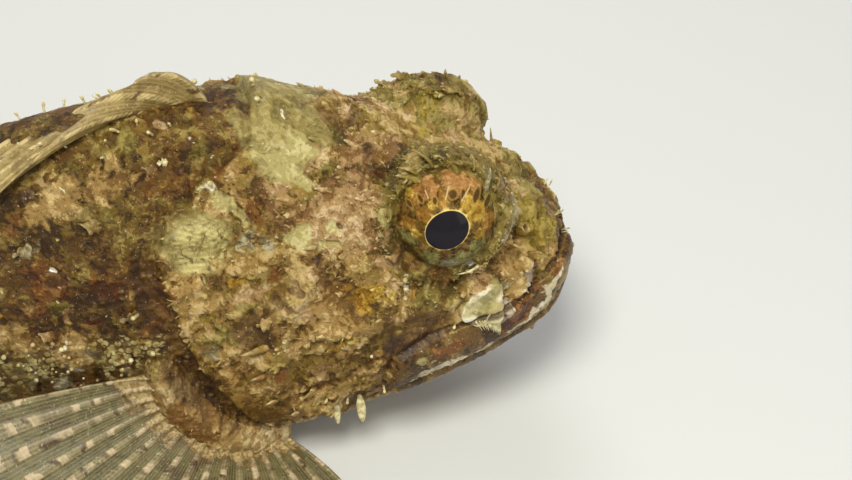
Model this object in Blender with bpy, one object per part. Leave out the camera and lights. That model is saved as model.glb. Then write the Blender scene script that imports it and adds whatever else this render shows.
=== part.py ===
# A black scorpionfish resting on its belly, life size, in metres: +X to the snout, +Y to its left, +Z up.
# The body is one turned form of named stations, cut into head, jaw, trunk and tail. Fins, spines and
# skin flaps are set on its skin. Lengths below are millimetres behind the snout tip, to the side and up.
import math
import random

import bmesh
import bpy
import numpy as np

MM = 0.001
GAP = 0.3
SNOUT_X = 85.5
NOSE_ROUND = 6.0

# distance behind the snout, back, belly, half width, height of the widest place,
# squareness of the upper half, squareness of the lower half
STATIONS = np.array([
    (0, 28.2, 15.0, 8.5, 21.0, 2.2, 2.2),
    (5, 31.6, 12.6, 11.6, 20.0, 2.2, 2.2),
    (9, 34.5, 10.8, 13.6, 19.5, 2.1, 2.2),
    (13, 37.5, 9.0, 14.8, 19.0, 2.0, 2.3),
    (20, 42.0, 6.2, 16.4, 18.5, 2.0, 2.4),
    (28, 45.5, 3.6, 17.9, 18.5, 2.0, 2.5),
    (36, 48.5, 1.6, 18.8, 18.5, 2.0, 2.6),
    (44, 50.5, 0.4, 18.8, 18.5, 1.9, 2.7),
    (55, 51.3, -0.4, 17.8, 19.0, 1.8, 2.8),
    (70, 50.0, -0.4, 15.6, 20.0, 1.8, 2.8),
    (85, 46.3, 2.4, 12.6, 21.5, 1.8, 2.4),
    (100, 41.0, 7.4, 9.2, 23.5, 1.8, 2.1),
    (115, 35.0, 12.4, 6.2, 24.0, 1.9, 2.0),
    (128, 31.0, 15.6, 4.2, 23.3, 2.0, 2.0),
    (138, 30.4, 15.6, 2.0, 23.0, 2.2, 2.2),
], float)

# the eyes, and the bony orbit that swells round each
EYE = np.array([19.4, 9.8, 35.6])
EYE_RADIUS = 7.2
EYE_TILT = math.radians(20)
EYE_BACK = math.radians(4)
ORBIT_RADIUS = 9.9
ORBIT_DEPTH = 3.6
ORBIT_BLEND = 1.6
SOCKET_MOUTH = 6.7
TROUGH_DEPTH, TROUGH_WIDTH = 1.6, 2.8

# outlines in side view, as (distance behind the snout, height)
GILL_EDGE = [(42, 56), (44.5, 48), (50, 45), (56, 40.8), (58, 36.5), (56.5, 30), (55.2, 25), (53.5, 20),
             (50.6, 15.2), (48, 11), (45, 7.5), (40, 3.6), (35, -3)]
MOUTH_LINE = [(-2, 21.6), (1, 21), (4, 19.4), (8, 17.4), (12.5, 15), (17, 13.2), (22, 11.8), (27, 10.8)]
JAW_REAR = [(30.5, 8.6), (32.5, 4), (33, -3)]
GILL_RAISE, GILL_FADE = 1.0, 9.0
TAIL_CUT = 103.0
TAIL_SLANT = 4.0
ROOT_STATION = 138.0


def colour(name, rgb, roughness):
    material = bpy.data.materials.new(name)
    material.use_nodes = True
    shader = material.node_tree.nodes["Principled BSDF"]
    shader.inputs["Base Color"].default_value = (*rgb, 1.0)
    shader.inputs["Roughness"].default_value = roughness
    shader.inputs["Metallic"].default_value = 0.0
    return material


def clear_scene():
    for obj in list(bpy.data.objects):
        bpy.data.objects.remove(obj)


def smooth_curve(x, xs, ys):
    """A curve through the stations that never overshoots them."""
    gap = np.diff(xs)
    slope = np.diff(ys) / gap
    tangent = np.empty_like(ys)
    tangent[0], tangent[-1] = slope[0], slope[-1]
    same = slope[:-1] * slope[1:] > 0
    before, after = 2 * gap[1:] + gap[:-1], gap[1:] + 2 * gap[:-1]
    first, second = np.where(same, slope[:-1], 1.0), np.where(same, slope[1:], 1.0)
    tangent[1:-1] = np.where(same, (before + after) / (before / first + after / second), 0.0)
    i = np.clip(np.searchsorted(xs, x) - 1, 0, len(xs) - 2)
    t = (x - xs[i]) / gap[i]
    return ((2 * t**3 - 3 * t**2 + 1) * ys[i] + (t**3 - 2 * t**2 + t) * gap[i] * tangent[i]
            + (3 * t**2 - 2 * t**3) * ys[i + 1] + (t**3 - t**2) * gap[i] * tangent[i + 1])


def smooth_step(low, high, x):
    t = np.clip((x - low) / (high - low), 0, 1)
    return t * t * (3 - 2 * t)


def softer_max(a, b, blend):
    h = np.clip(0.5 + 0.5 * (a - b) / blend, 0, 1)
    return b + (a - b) * h + blend * h * (1 - h)


def eye_axis(side):
    """The way an eye looks: outwards, a little up and a little back."""
    flat = math.cos(EYE_TILT)
    return np.array([flat * math.sin(EYE_BACK), side * flat * math.cos(EYE_BACK), math.sin(EYE_TILT)])


def line_distance(s, z, line):
    """Distance in side view from points to a bent line."""
    best = np.full(np.shape(s), 1e9)
    for start, end in zip(np.array(line[:-1], float), np.array(line[1:], float)):
        way = end - start
        t = np.clip(((s - start[0]) * way[0] + (z - start[1]) * way[1]) / (way @ way), 0, 1)
        best = np.minimum(best, np.hypot(s - start[0] - t * way[0], z - start[1] - t * way[1]))
    return best


def body_section(s, turn):
    """Points of the plain body: turn is 0 at the back's midline and positive to the left."""
    back, belly, width, middle, upper, lower = (
        smooth_curve(s, STATIONS[:, 0], STATIONS[:, k]) for k in range(1, 7))
    nose = np.sqrt(1 - (1 - np.clip(s / NOSE_ROUND, 0, 1))**2)
    up, out = np.cos(turn), np.sin(turn)
    power = 2 / np.where(up > 0, upper, lower)
    height = np.where(up > 0, back - middle, middle - belly) * nose
    y = width * nose * np.sign(out) * np.abs(out)**power
    z = middle + height * np.sign(up) * np.abs(up)**power
    return np.stack([s + 0 * y, y, z], -1)


def push_out_orbits(p):
    """The bony swelling round each eye, and the trough between them."""
    for side in (1, -1):
        axis = eye_axis(side)
        centre = EYE * [1, side, 1] - axis * ORBIT_DEPTH
        away = p - centre
        reach = np.maximum(np.linalg.norm(away, axis=-1), 1e-6)
        facing = smooth_step(-0.25, 0.35, (away @ axis) / reach)
        pushed = reach + facing * (softer_max(reach, ORBIT_RADIUS, ORBIT_BLEND) - reach)
        p = centre + away / reach[..., None] * pushed[..., None]
    s, y, z = p[..., 0], p[..., 1], p[..., 2]
    along = smooth_step(8, 15, s) * (1 - smooth_step(23, 28, s)) * (z > 30)
    p[..., 2] -= TROUGH_DEPTH * np.exp(-(y / TROUGH_WIDTH)**2) * along
    return p


def grid_normals(p):
    along = np.gradient(p, axis=0)
    around = np.roll(p, -1, axis=1) - np.roll(p, 1, axis=1)
    normal = np.cross(along, around)
    return normal / np.maximum(np.linalg.norm(normal, axis=-1), 1e-9)[..., None]


def skin_grid(stations, turns, head=False, grow=0.0):
    """The skin as rings of points. The head's gill covers stand a little proud."""
    s, turn = np.meshgrid(stations, turns, indexing="ij")
    p = push_out_orbits(body_section(s, turn))
    normal = grid_normals(p)
    lift = np.full(s.shape, float(grow))
    if head:
        near = line_distance(p[..., 0], p[..., 2], GILL_EDGE)
        lift += GILL_RAISE * (1 - smooth_step(0, GILL_FADE, near)) * smooth_step(3, 12, p[..., 2])
    return p + normal * lift[..., None], normal


def world(p):
    """Millimetres behind the snout, to the left and up, to metres in the part's frame."""
    q = np.array(p, float)
    q[..., 0] = SNOUT_X - q[..., 0]
    return q * MM


def turn_at(s, z, side):
    """The turn round the body of the place at a height on one side."""
    back, belly, width, middle, upper, lower = (
        float(smooth_curve(np.array(float(s)), STATIONS[:, 0], STATIONS[:, k])) for k in range(1, 7))
    nose = math.sqrt(1 - (1 - min(s / NOSE_ROUND, 1.0))**2)
    if z > middle:
        up = min(1.0, (z - middle) / ((back - middle) * nose))**(upper / 2)
    else:
        up = -min(1.0, (middle - z) / ((middle - belly) * nose))**(lower / 2)
    return side * math.acos(up)


def skin_frame(s, turn, head=True):
    """A place on the skin: the point, the way out and the way back along the skin."""
    step = 0.05
    grid, _ = skin_grid(np.array([s - step, s, s + step]), np.array([turn - step, turn, turn + step]), head)
    back = grid[2, 1] - grid[0, 1]
    around = grid[1, 2] - grid[1, 0]
    out = np.cross(back, around)
    return grid[1, 1], out / np.linalg.norm(out), back / np.linalg.norm(back)


def side_place(s, z, side, head=True):
    """The same, for a place named by its height."""
    return skin_frame(s, turn_at(s, z, side), head)


def new_object(name, mesh, collection=None):
    obj = bpy.data.objects.new(name, mesh)
    (collection or bpy.context.scene.collection).objects.link(obj)
    return obj


def mesh_from(name, points, faces):
    mesh = bpy.data.meshes.new(name)
    mesh.from_pydata([tuple(v) for v in points], [], [tuple(f) for f in faces])
    build = bmesh.new()
    build.from_mesh(mesh)
    bmesh.ops.recalc_face_normals(build, faces=build.faces)
    build.to_mesh(mesh)
    build.free()
    return mesh


def ring_mesh(name, rings):
    """A closed mesh over rings of points, with a flat fan over each end ring."""
    rows, columns = rings.shape[:2]
    points = list(rings.reshape(-1, 3))
    faces = [(i * columns + j, i * columns + (j + 1) % columns, (i + 1) * columns + (j + 1) % columns,
              (i + 1) * columns + j) for i in range(rows - 1) for j in range(columns)]
    for row in (0, rows - 1):
        points.append(rings[row].mean(axis=0))
        centre = len(points) - 1
        faces += [(row * columns + j, row * columns + (j + 1) % columns, centre) for j in range(columns)]
    return mesh_from(name, points, faces)


def body_mesh(name, stations, sides, head=False, grow=0.0):
    turns = np.arange(sides) / sides * 2 * np.pi
    grid, _ = skin_grid(np.array(stations, float), turns, head, grow)
    return ring_mesh(name, world(grid))


def lobe_mesh(name, path, widths, depths, outward, sides=6):
    """A tapered rod or flat flap along a path, with its width across the path and its depth outward."""
    path, outward = np.array(path, float), np.array(outward, float)
    if outward.ndim == 1:
        outward = np.tile(outward, (len(path), 1))
    along = np.gradient(path, axis=0)
    along /= np.linalg.norm(along, axis=1)[:, None]
    across = np.cross(along, outward)
    across /= np.linalg.norm(across, axis=1)[:, None]
    up = np.cross(across, along)
    angle = (np.arange(sides) + 0.5) / sides * 2 * np.pi
    rings = (path[:, None] + across[:, None] * (np.cos(angle)[:, None] * np.array(widths)[:, None, None])
             + up[:, None] * (np.sin(angle)[:, None] * np.array(depths)[:, None, None]))
    return ring_mesh(name, world(rings))


def spike_mesh(path, radii, flat=1.0, sides=4):
    """A thorn along a path, from a sunk root to a point."""
    path = np.array(path, float)
    along = np.gradient(path, axis=0)
    along /= np.linalg.norm(along, axis=1)[:, None]
    first = np.cross(along, [0.02, 0.01, 1.0])
    first /= np.linalg.norm(first, axis=1)[:, None]
    second = np.cross(along, first)
    angle = np.arange(sides) / sides * 2 * np.pi
    points, faces = [], []
    for row, radius in enumerate(radii[:-1]):
        for a in angle:
            spoke = first[row] * math.cos(a) + second[row] * math.sin(a) * flat
            points.append(path[row] + spoke * radius)
    points.append(path[-1])
    tip = len(points) - 1
    last = len(radii) - 2
    for j in range(sides):
        k = (j + 1) % sides
        faces += [(i * sides + j, i * sides + k, (i + 1) * sides + k, (i + 1) * sides + j)
                  for i in range(last)]
        faces.append((last * sides + j, last * sides + k, tip))
    faces.append(tuple(range(sides)))
    return mesh_from("spike", world(np.array(points)), faces)


def leaf_mesh(root, out, way, length, width, depth, curl, seed):
    """A small leaf-shaped skin flap that stands on the skin and bends back."""
    draw = random.Random(seed)
    side = np.cross(out, way)
    side /= np.linalg.norm(side)
    rise = out * math.cos(curl) + way * math.sin(curl)
    bent = out * math.cos(curl + 0.7) + way * math.sin(curl + 0.7)
    sway = side * draw.uniform(-0.25, 0.25)
    path = [root - rise * 1.4, root + rise * 0.1, root + rise * length * 0.5 + sway * length * 0.3,
            root + rise * length * 0.6 + (bent + sway) * length * 0.45]
    widths = [width * 0.75, width * 0.8, width, width * 0.35]
    return lobe_mesh("leaf", path, widths, [depth, depth, depth * 0.85, depth * 0.5], way, sides=4)


def ridge_mesh(places, radii, head=True, sunk=0.45, sides=6):
    """A low rounded ridge laid along the skin through places, each with its radius."""
    path, outs = [], []
    for (s, z, side), radius in zip(places, radii):
        p, out, _ = side_place(s, z, side, head)
        path.append(p - out * radius * sunk)
        outs.append(out)
    return lobe_mesh("ridge", path, radii, radii, outs, sides)


def ring_rod(centre, axis, radius, rod, sides=20, rod_sides=5):
    """A closed ring of round rod about an axis. rod gives its thickness at an angle from the top."""
    axis = np.array(axis, float)
    up = np.array([0, 0, 1.0]) - axis * axis[2]
    up /= np.linalg.norm(up)
    level = np.cross(axis, up)
    points = []
    for i in range(sides):
        a = i / sides * 2 * math.pi
        out = up * math.cos(a) + level * math.sin(a)
        for j in range(rod_sides):
            b = j / rod_sides * 2 * math.pi
            points.append(centre + out * (radius + rod(a) * math.cos(b)) + axis * rod(a) * math.sin(b))
    faces = [(i * rod_sides + j, i * rod_sides + (j + 1) % rod_sides,
              ((i + 1) % sides) * rod_sides + (j + 1) % rod_sides, ((i + 1) % sides) * rod_sides + j)
             for i in range(sides) for j in range(rod_sides)]
    return mesh_from("ring", world(np.array(points)), faces)


def prism(name, outline, half_width):
    """A side-view outline in millimetres, pulled through the body from side to side."""
    points = [world((s, side * half_width, z)) for side in (-1, 1) for s, z in outline]
    n = len(outline)
    faces = [tuple(range(n)), tuple(range(2 * n - 1, n - 1, -1))]
    faces += [(i, (i + 1) % n, n + (i + 1) % n, n + i) for i in range(n)]
    return mesh_from(name, points, faces)


def shifted(outline, distance):
    """The outline's line moved sideways, to its left, by a distance."""
    line = np.array(outline, float)
    way = np.gradient(line, axis=0)
    way /= np.linalg.norm(way, axis=1)[:, None]
    return [tuple(p) for p in line + np.stack([-way[:, 1], way[:, 0]], 1) * distance]


def boolean(obj, other, operation, solver="EXACT"):
    """Applies one Boolean with a helper mesh, which is then removed."""
    cutter = new_object("helper", other) if isinstance(other, bpy.types.Mesh) else other
    modifier = obj.modifiers.new(operation.title(), "BOOLEAN")
    modifier.operation, modifier.solver, modifier.object = operation, solver, cutter
    apply_modifiers(obj)
    bpy.data.objects.remove(cutter)


def apply_modifiers(obj):
    bpy.context.view_layer.update()
    graph = bpy.context.evaluated_depsgraph_get()
    mesh = bpy.data.meshes.new_from_object(obj.evaluated_get(graph))
    obj.modifiers.clear()
    obj.data = mesh


def fuse(obj, pieces):
    """Joins pieces to a node with one Boolean union, and removes the pieces. Ridges that cross one another
    leave the exact solver open edges, which the manifold one closes."""
    if not pieces:
        return
    group = bpy.data.collections.new(obj.name + "_pieces")
    bpy.context.scene.collection.children.link(group)
    for mesh in pieces:
        new_object("piece", mesh, group)
    modifier = obj.modifiers.new("Union", "BOOLEAN")
    modifier.operation, modifier.solver, modifier.operand_type = "UNION", "MANIFOLD", "COLLECTION"
    modifier.collection = group
    apply_modifiers(obj)
    for piece in list(group.objects):
        bpy.data.objects.remove(piece)
    bpy.data.collections.remove(group)


def keep_largest(obj):
    """Drops loose scraps and sealed hollows: a node is one closed body."""
    build = bmesh.new()
    build.from_mesh(obj.data)
    bmesh.ops.remove_doubles(build, verts=build.verts, dist=1e-7)
    bmesh.ops.triangulate(build, faces=build.faces)
    seen, shells = set(), []
    for start in build.faces:
        if start in seen:
            continue
        shell, queue = [], [start]
        seen.add(start)
        while queue:
            face = queue.pop()
            shell.append(face)
            for edge in face.edges:
                for other in edge.link_faces:
                    if other not in seen:
                        seen.add(other)
                        queue.append(other)
        shells.append(shell)

    def volume(shell):
        return abs(sum(f.verts[0].co.dot(f.verts[1].co.cross(f.verts[2].co)) for f in shell))

    shells.sort(key=volume, reverse=True)
    for shell in shells[1:]:
        bmesh.ops.delete(build, geom=shell, context="FACES")
    bmesh.ops.delete(build, geom=[v for v in build.verts if not v.link_faces], context="VERTS")
    build.to_mesh(obj.data)
    build.free()


def finish_node(obj, material, parent):
    keep_largest(obj)
    obj.data.materials.clear()
    obj.data.materials.append(material)
    obj.parent = parent
    obj.data.shade_smooth()
    obj.data.set_sharp_from_angle(angle=math.radians(40))


def ribbed_fin(name, rays, rows, ray_depth, skin_depth, notch, root_depth=0.0, root_share=0.2):
    """A fin as one sheet: each ray is (root, bend, tip). Rays are ridges, the skin between is thinner and
    falls short of the tips by notch. Both faces are split into triangles alike."""
    rays = np.array(rays, float)
    between = (rays[:-1] + rays[1:]) / 2
    columns = np.empty((2 * len(rays) - 1, 3, 3))
    columns[0::2], columns[1::2] = rays, between
    is_ray = np.arange(len(columns)) % 2 == 0
    v = np.linspace(0, 1, rows)[None, :, None]
    reach = np.where(is_ray, 1.0, 1 - notch)[:, None, None]
    t = v * reach
    root, bend, tip = columns[:, None, 0], columns[:, None, 1], columns[:, None, 2]
    p = root * (1 - t)**2 + 2 * bend * t * (1 - t) + tip * t**2
    across = np.gradient(p, axis=0)
    along = np.gradient(p, axis=1)
    normal = np.cross(across, along)
    normal /= np.linalg.norm(normal, axis=-1)[..., None]
    depth = np.where(is_ray[:, None], ray_depth, skin_depth) * (1 - 0.45 * v[..., 0])
    depth = depth + root_depth * (1 - smooth_step(0, root_share, v[..., 0]))
    half = normal * depth[..., None] / 2
    n, m = p.shape[:2]
    points = np.concatenate([(p + half).reshape(-1, 3), (p - half).reshape(-1, 3)])
    faces, back = [], n * m
    for i in range(n - 1):
        for j in range(m - 1):
            a, b, c, d = i * m + j, (i + 1) * m + j, (i + 1) * m + j + 1, i * m + j + 1
            cut = [(a, b, c), (a, c, d)] if (i % 2 == 0) else [(a, b, d), (b, c, d)]
            faces += cut + [tuple(back + k for k in reversed(f)) for f in cut]
    rim = [j for j in range(m)] + [i * m + m - 1 for i in range(1, n)]
    rim += [(n - 1) * m + j for j in range(m - 2, -1, -1)] + [i * m for i in range(n - 2, 0, -1)]
    for a, b in zip(rim, rim[1:] + rim[:1]):
        faces += [(a, b, back + a), (b, back + b, back + a)]
    return mesh_from(name, world(points), faces)


# head, jaw, trunk and tail
HEAD_STATIONS = [0.25, 1.0, 2.2, 4.0, 6.5, 9.2, 11.4, 13.4, 15.4, 17.4, 19.4, 21.4, 23.4, 25.4, 27.6, 30.5,
                 34.5, 39.0, 43.5, 48.0, 52.5, 57.0, 63.0]
TRUNK_STATIONS = [20, 28, 34, 39, 44, 49, 54, 59, 64, 70, 77, 85, 93, 101, 109, 116]
TAIL_STATIONS = [88, 94, 100, 106, 112, 118, 124, 130, 135, ROOT_STATION]
HEAD_SIDES, TRUNK_SIDES, TAIL_SIDES = 46, 36, 24
FAR = 70


def region_before_gill(outset):
    """The side-view outline of all that lies in front of the gill covers' edge."""
    edge = shifted(GILL_EDGE, -outset)
    return [(-10, 60), *edge, (-10, -6)]


def region_of_jaw(outset):
    """The side-view outline of the lower jaw, under the mouth's line and before the jaw's joint."""
    line = [(s, z + outset) for s, z in MOUTH_LINE]
    rear = [(s + outset, z + outset * 0.5) for s, z in JAW_REAR]
    return [*line, *rear, (-6, -6)]


def floor_box(height):
    """Everything under a height, as a cutter."""
    return prism("floor", [(-30, height), (220, height), (220, -20), (-30, -20)], FAR)


def socket_mesh(side):
    """The hollow that an eye sits in: a ball, opened outwards by a widening mouth."""
    axis = eye_axis(side)
    centre = EYE * [1, side, 1]
    deep = EYE_RADIUS + GAP
    profile = [(-deep, 0.3)]
    profile += [(-deep * math.cos(a), deep * math.sin(a)) for a in np.radians([18, 36, 54, 72, 90])]
    profile += [(2.6, SOCKET_MOUTH + 0.35), (6.0, SOCKET_MOUTH + 1.2), (16.0, SOCKET_MOUTH + 4.0)]
    return turned_mesh("socket", centre, axis, profile, 24)


def turned_mesh(name, centre, axis, profile, sides):
    """A profile of (along the axis, radius) turned about an axis."""
    axis = np.array(axis, float)
    first = np.cross(axis, [0, 0, 1.0])
    first /= np.linalg.norm(first)
    second = np.cross(axis, first)
    angle = np.arange(sides) / sides * 2 * np.pi
    round_ = np.cos(angle)[:, None] * first + np.sin(angle)[:, None] * second
    rings = np.array([centre + axis * a + round_ * r for a, r in profile])
    return ring_mesh(name, world(rings))


def eye_mesh(side):
    angles = np.radians(np.linspace(4, 176, 12))
    profile = [(-EYE_RADIUS * math.cos(a), EYE_RADIUS * math.sin(a)) for a in angles]
    return turned_mesh("eye", EYE * [1, side, 1], eye_axis(side), profile, 20)


# lips: the upper jaw's long plate on each cheek, and a lip along each jaw's edge
PLATE = [(2.0, 23.2), (6.0, 21.6), (11.0, 19.2), (16.0, 17.8), (21.0, 16.8), (25.5, 15.2), (27.2, 13.4)]
PLATE_HALF = [1.6, 2.2, 2.6, 2.9, 3.3, 2.9, 1.6]
PLATE_DEPTH = [1.3, 1.5, 1.6, 1.6, 1.6, 1.5, 1.0]
LIP_STATIONS = [25, 20, 15, 10, 6, 3, 1.2]
LIP_RADIUS = 1.25
LIP_ABOVE, LIP_BELOW = 1.1, -1.3


def mouth_height(s):
    line = np.array(MOUTH_LINE)
    return float(np.interp(s, line[:, 0], line[:, 1]))


def plate_mesh(side):
    path, outs = [], []
    for s, z in PLATE:
        p, out, _ = side_place(s, z, side)
        path.append(p - out * 0.3)
        outs.append(out)
    return lobe_mesh("plate", path, PLATE_HALF, PLATE_DEPTH, outs, sides=8)


def lip_mesh(above, radius):
    """A lip that follows the mouth's line round the snout from cheek to cheek."""
    places = [(s, mouth_height(s) + above, 1) for s in LIP_STATIONS]
    front = [(s, z, -side) for s, z, side in reversed(places)]
    path, outs = [], []
    for s, z, side in places + front:
        p, out, _ = side_place(s, z, side)
        path.append(p - out * radius * 0.35)
        outs.append(out)
    middle = len(places)
    path.insert(middle, (path[middle - 1] + path[middle]) / 2 - np.array([0.5, 0, 0]))
    outs.insert(middle, np.array([-1.0, 0, 0]))
    taper = [0.5, 0.8] + [1.0] * (len(path) - 4) + [0.8, 0.5]
    return lobe_mesh("lip", path, [radius * t for t in taper], [radius * t for t in taper], outs, sides=6)


# bony ridges on each side of the head: places in side view, and half widths
RIDGES = [
    ([(8, 26.4), (13, 26.2), (19, 25.6), (25, 25.0), (31, 24.6), (37, 24.0)],
     [0.9, 1.3, 1.4, 1.5, 1.4, 0.9]),
    ([(37.5, 33), (41.5, 28.5), (43.6, 23.5), (44.2, 18.5), (43.0, 14.0), (39.5, 10.5), (34.5, 8.6)],
     [0.7, 1.1, 1.3, 1.3, 1.2, 1.0, 0.7]),
    ([(41, 38.5), (46.5, 38.8), (52, 39.0), (56.6, 39.0)], [0.7, 1.0, 1.0, 0.6]),
    ([(42, 35.5), (47, 34.2), (52, 33.0), (57, 32.0)], [0.7, 0.9, 0.9, 0.6]),
    ([(9.0, 24.6), (10.6, 22.0), (13.4, 21.6)], [0.8, 1.2, 1.1]),
]

# thorns on each side of the head: station, height, length, root radius, and how steeply they stand
THORNS = [
    (9.5, 22.6, 2.6, 0.85, 0.35), (13.8, 22.0, 3.4, 0.95, 0.3), (7.4, 33.0, 2.2, 0.7, 0.75),
    (20.5, 25.6, 2.2, 0.8, 0.6), (28.5, 25.0, 2.4, 0.8, 0.6), (36.0, 24.2, 2.6, 0.85, 0.5),
    (43.6, 23.2, 5.2, 1.25, 0.3), (44.0, 18.6, 3.6, 1.1, 0.35), (42.9, 14.0, 3.0, 1.0, 0.4),
    (40.0, 11.0, 2.6, 0.95, 0.45), (35.5, 9.0, 2.2, 0.9, 0.5),
    (53.4, 39.2, 4.0, 0.9, 0.22), (53.6, 32.8, 4.0, 0.9, 0.22),
    (30.5, 40.5, 2.4, 0.8, 0.6), (35.5, 42.6, 2.6, 0.85, 0.5), (40.5, 42.4, 2.8, 0.85, 0.45),
    (31.0, 45.4, 2.6, 0.85, 0.55), (35.5, 46.8, 2.8, 0.85, 0.5), (46.6, 45.2, 3.0, 0.85, 0.4),
    (38.0, 36.5, 2.0, 0.7, 0.5),
]
# thorns on the orbit's upper rim: the angle back from its top, and the length
RIM_THORNS = [(-48, 2.0), (-8, 2.2), (38, 2.4)]
RIM_RADIUS, RIM_HEIGHT = 7.9, 2.9

# skin flaps on each side of the head: station, height, length, half width, and how far they lie back
HEAD_FLAPS = [
    (9.8, 21.4, 3.0, 1.0, 0.9), (13.0, 20.8, 3.4, 1.1, 0.9), (34.5, 11.6, 3.0, 0.9, 0.8),
    (38.5, 13.8, 2.6, 0.9, 0.8), (43.5, 26.8, 2.6, 0.9, 0.9), (27.0, 28.4, 2.2, 0.8, 0.9),
    (49.5, 36.0, 2.4, 0.8, 1.0), (50.0, 21.5, 2.4, 0.9, 1.0), (34.5, 35.8, 2.2, 0.8, 0.9),
    (41.0, 46.8, 2.2, 0.7, 0.9),
]
# tall flaps on top of the orbit: angle back from its top, length and half width
RIM_FLAPS = [(-30, 3.2, 0.6), (12, 5.4, 0.8), (30, 3.6, 0.7)]
NOSTRILS = [(8.6, 30.6, 0.95, 1.1), (12.4, 31.6, 0.8, 0.7)]


def thorn_mesh(place, length, radius, steep):
    p, out, back = place
    way = back * math.cos(steep) + out * math.sin(steep)
    tip_way = back * math.cos(steep * 0.6) + out * math.sin(steep * 0.6)
    middle = p + way * length * 0.45
    path = [p - way * 1.6 - out * radius * 0.5, middle, middle + tip_way * length * 0.55]
    return spike_mesh(path, [radius * 1.25, radius * 0.75, 0])


def rim_frame(side, angle):
    """A place on the orbit's rim, by its angle back from the top."""
    axis = eye_axis(side)
    up = np.array([0, 0, 1.0]) - axis * axis[2]
    up /= np.linalg.norm(up)
    back = np.array([1.0, 0, 0]) - axis * axis[0]
    back -= up * (back @ up)
    back /= np.linalg.norm(back)
    a = math.radians(angle)
    out = up * math.cos(a) + back * math.sin(a)
    point = EYE * [1, side, 1] + axis * RIM_HEIGHT + out * RIM_RADIUS
    return point, out, back * math.cos(a) - up * math.sin(a)


def head_pieces():
    pieces = [lip_mesh(LIP_ABOVE, LIP_RADIUS)]
    for side in (1, -1):
        pieces.append(plate_mesh(side))
        for places, radii in RIDGES:
            pieces.append(ridge_mesh([(s, z, side) for s, z in places], radii))
        for s, z, length, radius, steep in THORNS:
            pieces.append(thorn_mesh(side_place(s, z, side), length, radius, steep))
        for angle, length in RIM_THORNS:
            pieces.append(thorn_mesh(rim_frame(side, angle), length, 0.8, 1.0))
        for i, (s, z, length, width, curl) in enumerate(HEAD_FLAPS):
            p, out, back = side_place(s, z, side)
            pieces.append(leaf_mesh(p, out, back, length, width, 0.36, curl, i * 2 + side))
        for i, (angle, length, width) in enumerate(RIM_FLAPS):
            p, out, back = rim_frame(side, angle)
            pieces.append(leaf_mesh(p, out, back, length, width, 0.36, 0.2, 90 + i * 2 + side))
        for s, z, radius, height in NOSTRILS:
            p, out, _ = side_place(s, z, side)
            path, radii = [p - out * 1.2, p + out * height * 0.6, p + out * height], [1.2, 1.0, 0.7]
            radii = [radius * share for share in radii]
            pieces.append(lobe_mesh("nostril", path, radii, radii, [0, 0, 1], sides=7))
        pieces.append(ring_rod(EYE * [1, side, 1] + eye_axis(side) * RIM_HEIGHT, eye_axis(side), RIM_RADIUS,
                               lambda a: 1.05 + 0.3 * math.cos(a) + 0.08 * math.cos(7 * a)))
    return pieces


def build_head():
    head = new_object("head", body_mesh("head", HEAD_STATIONS, HEAD_SIDES, head=True))
    boolean(head, prism("front", region_before_gill(GAP / 2), FAR), "INTERSECT")
    boolean(head, prism("jaw", region_of_jaw(GAP), FAR), "DIFFERENCE")
    fuse(head, head_pieces())
    for side in (1, -1):
        boolean(head, socket_mesh(side), "DIFFERENCE")
        for s, z, radius, height in NOSTRILS:
            p, out, _ = side_place(s, z, side)
            pit = spike_mesh([p + out * (height + 1), p + out * height, p - out * 0.6],
                             [radius * 0.5, radius * 0.45, 0])
            boolean(head, pit, "DIFFERENCE", "MANIFOLD")
    boolean(head, floor_box(0.0), "DIFFERENCE")
    return head


# skin flaps under each side of the lower jaw
JAW_FLAPS = [(6.0, 15.2, 2.4, 0.8, 0.6), (12.0, 11.4, 2.6, 0.9, 0.7), (18.5, 9.0, 2.6, 0.9, 0.7),
             (24.5, 7.0, 2.8, 0.9, 0.7)]


def jaw_pieces():
    pieces = [lip_mesh(LIP_BELOW, 1.0)]
    for side in (1, -1):
        for i, (s, z, length, width, curl) in enumerate(JAW_FLAPS):
            p, out, back = side_place(s, z, side)
            pieces.append(leaf_mesh(p, out, back, length, width, 0.36, curl, 40 + i * 2 + side))
    return pieces


def grown_plate(side):
    path, outs = [], []
    for s, z in PLATE:
        p, out, _ = side_place(s, z, side)
        path.append(p - out * 0.3)
        outs.append(out)
    path[-1] = path[-1] + (path[-1] - path[-2]) * 0.25
    widths, depths = [w + GAP for w in PLATE_HALF], [d + GAP for d in PLATE_DEPTH]
    return lobe_mesh("plate", path, widths, depths, outs, sides=8)


def build_jaw():
    jaw = new_object("lower_jaw", body_mesh("lower_jaw", HEAD_STATIONS[:18], HEAD_SIDES, head=True))
    boolean(jaw, prism("jaw", region_of_jaw(0.0), FAR), "INTERSECT")
    fuse(jaw, jaw_pieces())
    upper = lip_mesh(LIP_ABOVE, LIP_RADIUS + GAP)
    boolean(jaw, upper, "DIFFERENCE")
    for side in (1, -1):
        boolean(jaw, grown_plate(side), "DIFFERENCE")
    return jaw


# skin flaps on each side of the trunk, most along the lateral line: station, height, length, half width
TRUNK_FLAPS = [
    (64.4, 40.9, 3.0, 1.0), (73.4, 37.8, 2.8, 1.0), (61.0, 28.6, 2.6, 1.0), (68.4, 45.1, 2.4, 0.8),
    (82.0, 36.0, 2.6, 0.9), (90.5, 33.5, 2.4, 0.9), (98.0, 31.0, 2.2, 0.8), (72.0, 26.0, 2.4, 0.9),
    (56.5, 46.6, 2.2, 0.8),
]


def trunk_pieces():
    pieces = []
    for side in (1, -1):
        pieces.append(pectoral_base(side))
        for i, (s, z, length, width) in enumerate(TRUNK_FLAPS):
            p, out, back = side_place(s, z, side, head=False)
            pieces.append(leaf_mesh(p, out, back, length, width, 0.36, 0.9, 200 + i * 2 + side))
    return pieces


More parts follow.
